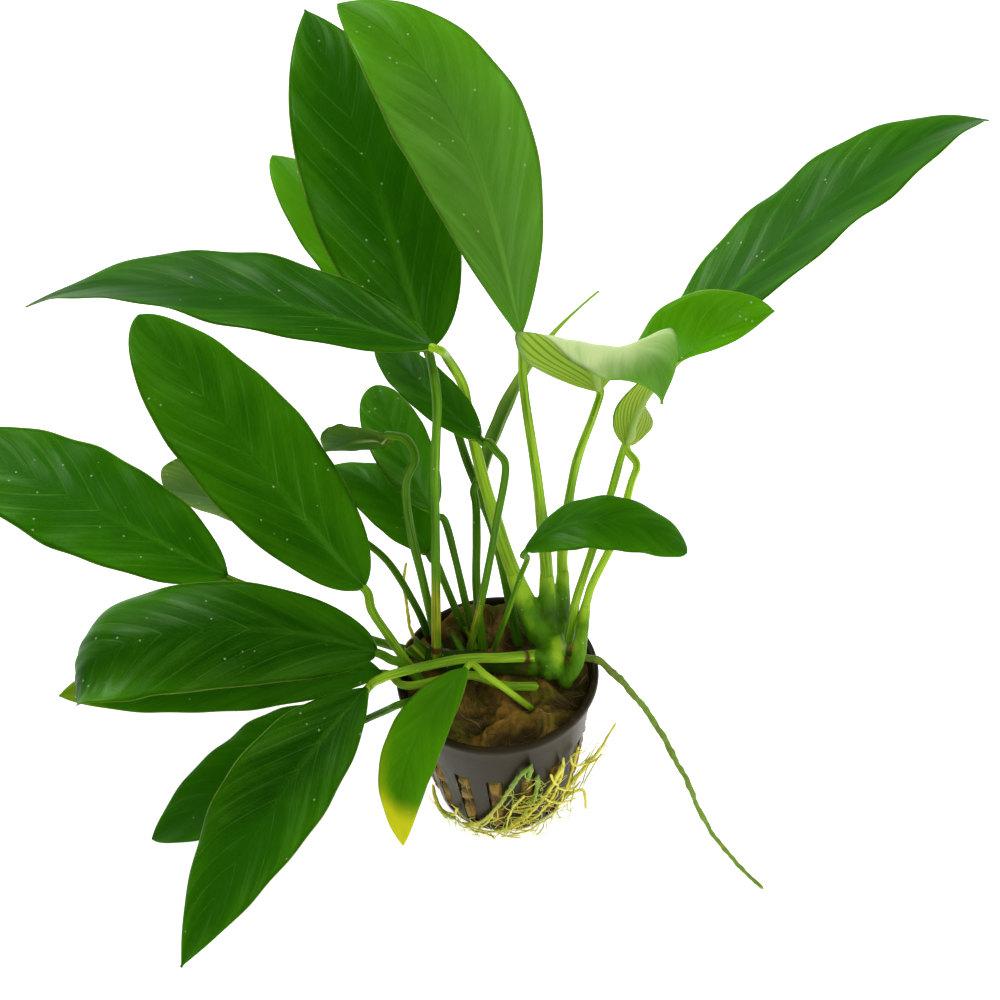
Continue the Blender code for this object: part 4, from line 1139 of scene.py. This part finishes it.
def build_pot():
    """One profile, from the floor's middle inside, over the rim and down outside to the floor's
    middle below, turned round the axis. In the slots the inner and outer wall are left open."""
    angles, open_column = slot_columns()
    slot = np.linspace(SLOT_LOW, SLOT_HIGH, SLOT_ROWS + 1)
    floor = [(3, WALL), (9, WALL), (15, WALL), (wall_radius(WALL) - WALL - 0.6, WALL),
             (wall_radius(WALL + 0.6) - WALL, WALL + 0.6)]
    inner = floor + [(wall_radius(h) - WALL, h) for h in (*slot, 35, 40, WALL_TOP)]
    rim = [(WALL_TOP_RADIUS - 0.95, 45.6), (WALL_TOP_RADIUS - 0.75, 46.5), (WALL_TOP_RADIUS - 0.35, 46.9),
           (WALL_TOP_RADIUS + 0.1, POT_HEIGHT), (RIM_RADIUS - 0.5, POT_HEIGHT - 0.1),
           (RIM_RADIUS - 0.12, POT_HEIGHT - 0.45), (RIM_RADIUS, POT_HEIGHT - 1.0),
           (RIM_RADIUS, WALL_TOP + 1.0), (RIM_RADIUS - 0.15, WALL_TOP + 0.5),
           (WALL_TOP_RADIUS + 0.35, WALL_TOP + 0.15), (WALL_TOP_RADIUS + 0.08, WALL_TOP - 0.3)]
    above = (43, 40, 35)
    outer = [(wall_radius(h), h) for h in (*above, *slot[::-1], 1.2)]
    outer += [(wall_radius(0.5) - 0.06, 0.5), (BASE_RADIUS - 0.35, 0.1), (BASE_RADIUS - 0.7, 0.0),
              (12, 0.0), (3, 0.0)]
    radius, height = np.array(inner + rim + outer).T
    places = ring_places(radius, height, angles)
    rows, columns = places.shape[:2]
    first_in, first_out = len(floor), len(inner) + len(rim) + len(above)
    faces = grid_faces(rows, columns, wrap=True).reshape(rows - 1, columns, 4)
    keep = np.ones((rows - 1, columns), bool)
    keep[first_in:first_in + SLOT_ROWS, open_column] = False
    keep[first_out:first_out + SLOT_ROWS, open_column] = False
    # each opening's lower and upper edge, and its two sides, join the inner wall to the outer
    j = np.flatnonzero(open_column)
    after = (j + 1) % columns
    in_low, in_high = first_in * columns, (first_in + SLOT_ROWS) * columns
    out_high, out_low = first_out * columns, (first_out + SLOT_ROWS) * columns
    sills = np.concatenate([np.stack([in_low + j, in_low + after, out_low + after, out_low + j], 1),
                            np.stack([in_high + after, in_high + j, out_high + j, out_high + after], 1)])
    left = j[::SLOT_STEPS]
    right = (left + SLOT_STEPS) % columns
    up = np.arange(SLOT_ROWS)[:, None]
    inner_row, outer_row = first_in + up, first_out + SLOT_ROWS - up
    cheeks = []
    for column, flip in ((left, False), (right, True)):
        quad = np.stack(np.broadcast_arrays(inner_row * columns + column, outer_row * columns + column,
                                            (outer_row - 1) * columns + column,
                                            (inner_row + 1) * columns + column), -1).reshape(-1, 4)
        cheeks.append(quad[:, ::-1] if flip else quad)
    quads = np.concatenate([faces[keep], sills, *cheeks])
    hub = np.vstack([places.reshape(-1, 3), (0, 0, WALL), (0, 0, 0)])
    j = np.arange(columns)
    after = (j + 1) % columns
    top_fan = np.stack([np.full(columns, rows * columns), after, j], 1)
    low_fan = np.stack([np.full(columns, rows * columns + 1), (rows - 1) * columns + j,
                        (rows - 1) * columns + after], 1)
    return hub, [face[::-1] for face in [*quads.tolist(), *top_fan.tolist(), *low_fan.tolist()]]


places, faces = build_pot()
pot = add_piece("net_pot", places, faces, PLASTIC, ["pot"])
pot.data.set_sharp_from_angle(angle=math.radians(38))
print("pot of", len(faces), "faces")

# %% [markdown]
# ## The rock wool
# The plug fills the pot, bulges a little into the slots, and its top is a felt pushed into folds by
# the fingers that planted it. The top is a polar grid whose height is a sum of waves, creased where
# a slow wave crosses zero, and the side is pushed out where it faces a slot.

# %% Wool plug
WOOL_TOP = 44.8


def fold_height(x, y):
    """Height above the mean top, and how much of a crest each place is, from 0 to 1."""
    flat = np.stack([x, y, np.zeros_like(x)], -1)
    bent = flat + 3.0 * np.stack([waves(flat, 17, 11), waves(flat, 17, 12), np.zeros_like(x)], -1)
    folds = 1 - 2 * np.abs(waves(bent, 21, 13))
    lumps = waves(bent, 8, 14)
    small = waves(bent, 3.2, 15)
    height = 1.5 * folds + 1.15 * lumps + 0.45 * small
    return height, np.clip(0.45 + 0.32 * folds + 0.24 * lumps + 0.16 * small, 0, 1)


def wool_top_height(x, y):
    """The top sinks towards the wall in front, and behind it rises to the rim."""
    edge = np.hypot(x, y) / (wall_radius(WOOL_TOP) - WALL)
    back = step(2, 20, y)
    return WOOL_TOP - 0.4 + 0.8 * fold_height(x, y)[0] + (3.0 * back - 1.5) * step(0.7, 1.0, edge)


def build_wool():
    """A sleeve: side rings from the floor up, then top rings inward to the middle."""
    angles = np.linspace(0, 2 * np.pi, 240, endpoint=False)
    side_height = np.linspace(WALL + 0.3, WOOL_TOP - 2, 46)
    slots = (np.degrees(angles) - SLOT_PHASE) % (360 / SLOT_COUNT)
    off = np.minimum(slots, 360 / SLOT_COUNT - slots) / 360 * 2 * np.pi * SLOT_RADIUS
    faces_slot = step(SLOT_WIDTH / 2 - 0.1, SLOT_WIDTH / 2 - 1.0, off)[None, :]
    upright = (step(SLOT_LOW + 0.1, SLOT_LOW + 1.3, side_height)
               * step(SLOT_HIGH - 0.1, SLOT_HIGH - 1.6, side_height))
    inside = wall_radius(side_height)[:, None] - WALL - 0.25
    side = ring_places(inside[:, 0], side_height, angles)
    rough = 0.5 + 0.55 * waves(side, 5, 21) + 0.35 * waves(side, 2, 22)
    push = upright[:, None] * faces_slot * np.clip(1.15 + 0.9 * rough, 0.3, 2.1)
    radial = unit(side * np.array([1, 1, 0]))
    side = side + push[..., None] * radial
    edge = wall_radius(WOOL_TOP) - WALL - 0.3
    inward = edge * np.linspace(1, 0.02, 60)
    top = ring_places(inward, np.zeros(60), angles)
    top[..., 2] = wool_top_height(top[..., 0], top[..., 1])
    rings = np.concatenate([side, top])
    # painted light on the wool that bulges into the slots, and on the top's crests
    crest_shade = np.concatenate([np.clip(0.4 + 0.85 * rough * (push > 0.3), 0, 1),
                            fold_height(top[..., 0], top[..., 1])[1]])
    places, faces = closed_sleeve(rings)
    return places, faces, np.concatenate([crest_shade.ravel(), [0.2, crest_shade[-1, 0]]])


places, faces, crest_shade = build_wool()
add_piece("wool_plug", places, faces, WET_WOOL, ["rock_wool"], {"crest_shade": crest_shade})
print("wool of", len(faces), "faces, top from", places[:, 2].max().round(2))

# %% [markdown]
# ## Loose fibres
# From close by, the felt is threads. More than a thousand short ones lie over the top in swirls and
# stick out of the slots. Each is a three-sided sliver along a bent line, and all of them are worked
# out together: first every start and heading, then every point by adding up small steps.

# %% Wool fibres
TOP_FIBRES, SLOT_FIBRES = 700, 600
FIBRE_DISC = 24.0  # radius of the disc that the top fibres start on
FIBRE_LIMIT = 24.3  # how far out any of their points may lie


def slivers(lines, radius, tone):
    """Three-sided threads along lines (count, points, 3), thinner at both ends."""
    count, points = lines.shape[:2]
    tangent = unit(np.gradient(lines, axis=1))
    side = unit(np.cross(tangent, np.array([0.3, 0.2, 1.0])))
    other = np.cross(tangent, side)
    turn = 2 * np.pi * np.arange(3) / 3
    spokes = (np.cos(turn)[:, None] * side[..., None, :] + np.sin(turn)[:, None] * other[..., None, :])
    thin = np.sqrt(np.clip(1 - np.linspace(-0.95, 0.95, points) ** 2, 0, 1))[None, :, None, None]
    places = (lines[:, :, None] + radius[:, None, None, None] * thin * spokes).reshape(-1, 3)
    end = 3 * points
    one = grid_faces(points, 3, wrap=True).tolist() + [[0, 2, 1], [end - 3, end - 2, end - 1]]
    faces = [[corner + end * k for corner in face] for k in range(count) for face in one]
    return places, faces, {"tone": np.repeat(tone, 3 * points)}


def top_fibres(count, points=6):
    """Starts spread over the disc; the heading swirls with a slow wave and each bends a little."""
    rng = np.random.default_rng(7)
    radius, angle = FIBRE_DISC * np.sqrt(rng.uniform(0, 1, count)), rng.uniform(0, 2 * np.pi, count)
    start = np.stack([radius * np.cos(angle), radius * np.sin(angle), np.zeros(count)], -1)
    heading = 2.6 * waves(start, 16, 31) + rng.normal(0, 0.45, count)
    bend = rng.normal(0, 0.16, count)
    pace = rng.uniform(0.5, 1.3, count)
    headings = heading[:, None] + bend[:, None] * np.arange(points)
    steps = pace[:, None, None] * np.stack([np.cos(headings), np.sin(headings), 0 * headings], -1)
    lines = start[:, None] + np.cumsum(steps, axis=1)
    out = np.hypot(lines[..., 0], lines[..., 1])
    lines[..., :2] *= np.minimum(1, FIBRE_LIMIT / out)[..., None]
    arch = rng.uniform(0.0, 0.45, count)[:, None] * np.sin(np.linspace(0, np.pi, points))
    lines[..., 2] = wool_top_height(lines[..., 0], lines[..., 1]) + 0.03 + arch
    return slivers(lines, rng.uniform(0.035, 0.085, count), rng.beta(1.6, 2.4, count))


def slot_fibres(count, points=6):
    """Threads that lie in the slots, mostly upright, and bow out of them."""
    rng = np.random.default_rng(8)
    slot = rng.integers(0, SLOT_COUNT, count)
    angle = math.radians(SLOT_PHASE) + 2 * np.pi * slot / SLOT_COUNT + rng.uniform(-0.07, 0.07, count)
    height = rng.uniform(SLOT_LOW + 1, SLOT_HIGH - 3, count)
    t = np.linspace(0, 1, points)
    high = height[:, None] + rng.normal(2.0, 2.5, count)[:, None] * t
    high = np.clip(high, SLOT_LOW + 0.6, SLOT_HIGH - 0.8)
    turned = angle[:, None] + rng.normal(0, 0.03, count)[:, None] * t
    proud = 0.1 + rng.uniform(0.0, 0.7, count)[:, None] * np.sin(np.pi * t)
    reach = wall_radius(high) + proud
    lines = np.stack([reach * np.sin(turned), -reach * np.cos(turned), high], -1)
    return slivers(lines, rng.uniform(0.04, 0.09, count), rng.beta(2.0, 2.0, count))


places, faces, values = joined([top_fibres(TOP_FIBRES), slot_fibres(SLOT_FIBRES)])
add_piece("wool_fibres", places, faces, WOOL_FIBRE, None, values)
print("fibres:", len(faces), "faces")

# %% [markdown]
# ## Roots
# The long aerial root leaves the crown, goes over the rim and hangs to the ground. The others push
# through the slots and cling to the wall. A route is a few places; small bends are added to it,
# because a root feels its way round every grain. Round them lies a tangle of thin ones: its main
# strands have routes of their own, finer roots branch from the strands, and hairs from those.

# %% Roots
WALL_ROOTS = (
    ((14, 0.9, 29), (16, 1.2, 36), (9, 1.2, 33), (1, 1.2, 24), (-6, 1.2, 17), (-16, 1.2, 9),
     (-27, 1.3, 4), (-39, 1.8, 1.6)),
    ((20, 1.1, 30), (21, 1.3, 25), (18, 1.3, 17), (11, 2.8, 14)),
    ((41, 1.0, 29), (36, 1.3, 25), (29, 1.3, 19), (19, 1.3, 12), (4, 1.3, 5.5), (-12, 1.4, 2)),
    ((-44, 1.6, 2.4), (-55, 2.6, 2), (-64, 2.4, 5), (-72, 1.2, 8)),
)
WALL_ROOT_TONES = ((0.45, 0.85), (0.5, 0.7), (0.85, 1.0), (0.7, 0.9))
FREE_ROOTS = (
    ((16, -17, 14), (19.5, -14, 15.5), (24, -10.5, 18), (27, -7.5, 20), (32, -2, 24)),
    ((15, -16.4, 10), (18, -14.5, 9.5), (21.5, -12.8, 8), (22, -15.5, 2.5)),
)
STRANDS = (  # the longest of the thin roots, as angle, distance off the wall and height
    ((17, 1.3, 38), (8, 1.4, 32), (0, 1.4, 23), (-8, 1.5, 15), (-18, 1.5, 6), (-32, 1.5, 2)),
    ((21, 1.3, 31), (20, 1.6, 23), (17, 1.8, 16), (8, 1.7, 10), (-4, 1.6, 4), (-20, 1.5, 1.5)),
    ((39, 1.3, 33), (39, 1.6, 24), (31, 1.8, 14), (17, 1.8, 8), (1, 1.7, 4), (-15, 1.7, 2), (-44, 1.8, 2)),
    ((54, 1.4, 31), (50, 1.8, 23), (44, 2.1, 14), (36, 2.3, 7), (20, 2.2, 3), (2, 2.0, 1.5)),
    ((30, 1.3, 28), (36, 1.8, 20), (46, 2.8, 14), (60, 3.6, 12)),
    ((22, 1.4, 20), (34, 2.0, 12), (46, 2.6, 8), (58, 3.4, 4)),
    ((46, 1.3, 30), (47, 2.4, 26), (53, 4.5, 25), (60, 8.0, 28)),
    ((12, 1.4, 22), (2, 1.8, 14), (0, 1.8, 6), (-2, 2.6, 1)),
    ((-72, 1.2, 41), (-77, 2.6, 38), (-80, 2.4, 31), (-76, 1.8, 26)),
    ((-38, 1.3, 10), (-44, 1.8, 5), (-56, 2.2, 2), (-68, 2.0, 4)),
)
AERIAL_ROOT = ((17, 3, 49), (21, 1.5, 50.5), (24.5, 0, 50), (28, -2, 50), (35, -7.5, 44.5),
               (41.5, -13.5, 36.5), (49, -24, 24.5), (54, -31, 13), (61, -38, 5), (68, -45, 1.2))


def by_the_wall(places):
    """Places given as degrees from the front, distance off the wall and height, in x, y and z."""
    places = np.asarray(places, float)
    turn, radius = np.radians(places[..., 0]), wall_radius(places[..., 2]) + places[..., 1]
    return np.stack([radius * np.sin(turn), -radius * np.cos(turn), places[..., 2]], -1)


def root_tube(route, radii, tones, seed, shake=0.12, sides=8):
    """A tube along a smooth route, shaken sideways by two waves, thinning evenly to its end."""
    line = smooth_line(route, 12)
    line = even_line(line, max(8, int(lengths(line)[-1] / 0.7)))
    calm = np.sin(np.linspace(0, np.pi, len(line))) ** 0.5
    wander = np.stack([waves(line, 6, seed + k) + 0.5 * waves(line, 2.2, seed + 7 + k)
                       for k in range(3)], -1)
    line = line + shake * calm[:, None] * wander
    radii = np.linspace(*radii, len(line)) * (1 + 0.13 * waves(line, 2.5, seed + 20))
    return tube(line, radii, sides, tone=np.linspace(*tones, len(line)))


def add_root(name, solid, made):
    """A root's tube as the piece that stands for its solid."""
    places, faces, values = made
    add_piece(name, places, faces, FLESHY_ROOT, [solid], values)


for number, (route, tones) in enumerate(zip(WALL_ROOTS, WALL_ROOT_TONES), start=1):
    add_root(f"wall_root_skin_{number}", f"wall_root_{number}",
             root_tube(by_the_wall(route), (0.75, 0.45), tones, 100 + 10 * number))
for number, route in enumerate(FREE_ROOTS, start=1):
    add_root(f"free_root_skin_{number}", f"free_root_{number}",
             root_tube(route, (0.7, 0.3), (0.85, 1.0), 160 + 10 * number))
add_root("aerial_root_skin", "aerial_root",
         root_tube(AERIAL_ROOT, (1.05, 0.55), (0.2, 0.6), 190, shake=0.2, sides=12))

# %% Tangle
LOOSE_ROOT = ((-22, 13, 44), (-23, 15, 51), (-23.5, 18, 58), (-23.5, 22, 64), (-22.5, 23, 68))
WALL_DEGREE = 0.4  # how long one degree of angle is along the wall
BRANCHES, HAIRS = 110, 160


def branches(mothers, count, reach, seed, points=9):
    """Thin roots that start at places of the mothers' lines. Each heads away at an angle of its own
    and feels its way on: its heading is a running sum of small turns, it sinks a little, and it
    slowly leaves the wall. The generator comes back too, for the draws that follow."""
    rng = np.random.default_rng(seed)
    start = mothers[rng.integers(0, len(mothers), count)]
    turns = rng.normal(0, 0.35, (count, points))
    turns[:, 0] += rng.uniform(-2.6, 0.8, count)
    heading = np.cumsum(turns, axis=1)
    pace = reach * rng.uniform(0.4, 1.2, count)[:, None]
    walk = np.stack([np.cos(heading) * pace / WALL_DEGREE,
                     rng.uniform(-0.02, 0.22, count)[:, None] + 0 * heading,
                     np.sin(heading) * pace - 0.12], -1)
    lines = start[:, None] + np.cumsum(walk, axis=1) - walk[:, :1]
    lines[..., 1] = np.maximum(lines[..., 1], 0.4)
    lines[..., 2] = np.maximum(lines[..., 2], 0.6)
    return lines, rng


tangle = [root_tube(LOOSE_ROOT, (0.6, 0.4), (1.1, 1.3), 195, shake=0.2)]
strands = [even_line(smooth_line(route, 10), 40) for route in STRANDS]
for number, line in enumerate(strands):
    tone = 0.45 if number < 2 else 0.9  # the first two are still green
    tangle.append(root_tube(by_the_wall(line), (0.42, 0.24), (tone, 1.0), 210 + 5 * number,
                            shake=0.25, sides=6))
lines, rng = branches(np.concatenate(strands), BRANCHES, 1.1, 14)
tangle.append(slivers(by_the_wall(lines), rng.uniform(0.12, 0.24, BRANCHES), rng.uniform(0.6, 1.1, BRANCHES)))
hairs, rng = branches(lines.reshape(-1, 3), HAIRS, 0.7, 15)
tangle.append(slivers(by_the_wall(hairs), rng.uniform(0.07, 0.13, HAIRS), rng.uniform(0.8, 1.1, HAIRS)))
for places, faces, values in tangle:
    values.setdefault("skin", places)
places, faces, values = joined(tangle)
add_piece("root_tangle", places, faces, FLESHY_ROOT, None, values)
print("roots made, the tangle of", len(faces), "faces")

# %% [markdown]
# ## Floor and light
# The plant stands on a white table under a large soft box behind and above it, whose reflection is
# the sheen on the wax, with a second one in front to open the shadows. The table is bright enough to
# light the blades from below, and an even white light comes from all round.

# %% Stage
FLOOR_REACH = 3
LAMP_TARGET = (0, 0, 0.08)
SURROUND = 0.3  # strength of the light from all round


def white_floor():
    """A wide square of pale, matt card that gives off a little light of its own."""
    made, tree, end = new_material("white_floor")
    card = node(tree, "BsdfPrincipled", {"Base Color": (0.9, 0.9, 0.9, 1), "Roughness": 0.9,
                                         "Emission Color": (1, 1, 1, 1), "Emission Strength": 0.8})
    tree.links.new(card.outputs[0], end.inputs["Surface"])
    mesh = bpy.data.meshes.new("floor")
    corners = [(FLOOR_REACH * x, FLOOR_REACH * y, 0) for x, y in ((-1, -1), (1, -1), (1, 1), (-1, 1))]
    mesh.from_pydata(corners, [], [(0, 1, 2, 3)])
    mesh.materials.append(made)
    floor = bpy.data.objects.new("floor", mesh)
    bpy.context.scene.collection.objects.link(floor)


def soft_box(name, place, size, power):
    """A square lamp at place that faces the middle of the plant."""
    lamp = bpy.data.objects.new(name, bpy.data.lights.new(name, "AREA"))
    lamp.data.size = size
    lamp.data.energy = power
    way = Matrix.Translation(place).to_translation() - Matrix.Translation(LAMP_TARGET).to_translation()
    lamp.matrix_world = Matrix.Translation(place) @ way.to_track_quat("Z", "Y").to_matrix().to_4x4()
    bpy.context.scene.collection.objects.link(lamp)


white_floor()
soft_box("back_box", (-0.45, 0.75, 0.95), 0.7, 14)
soft_box("front_box", (0.6, -0.6, 0.9), 0.8, 6)
world = bpy.data.worlds.new("studio")
world.use_nodes = True
world.node_tree.nodes["Background"].inputs["Color"].default_value = (1, 1, 1, 1)
world.node_tree.nodes["Background"].inputs["Strength"].default_value = SURROUND
bpy.context.scene.world = world
bpy.context.scene.view_settings.view_transform = "Standard"
print("two soft boxes over a white table")
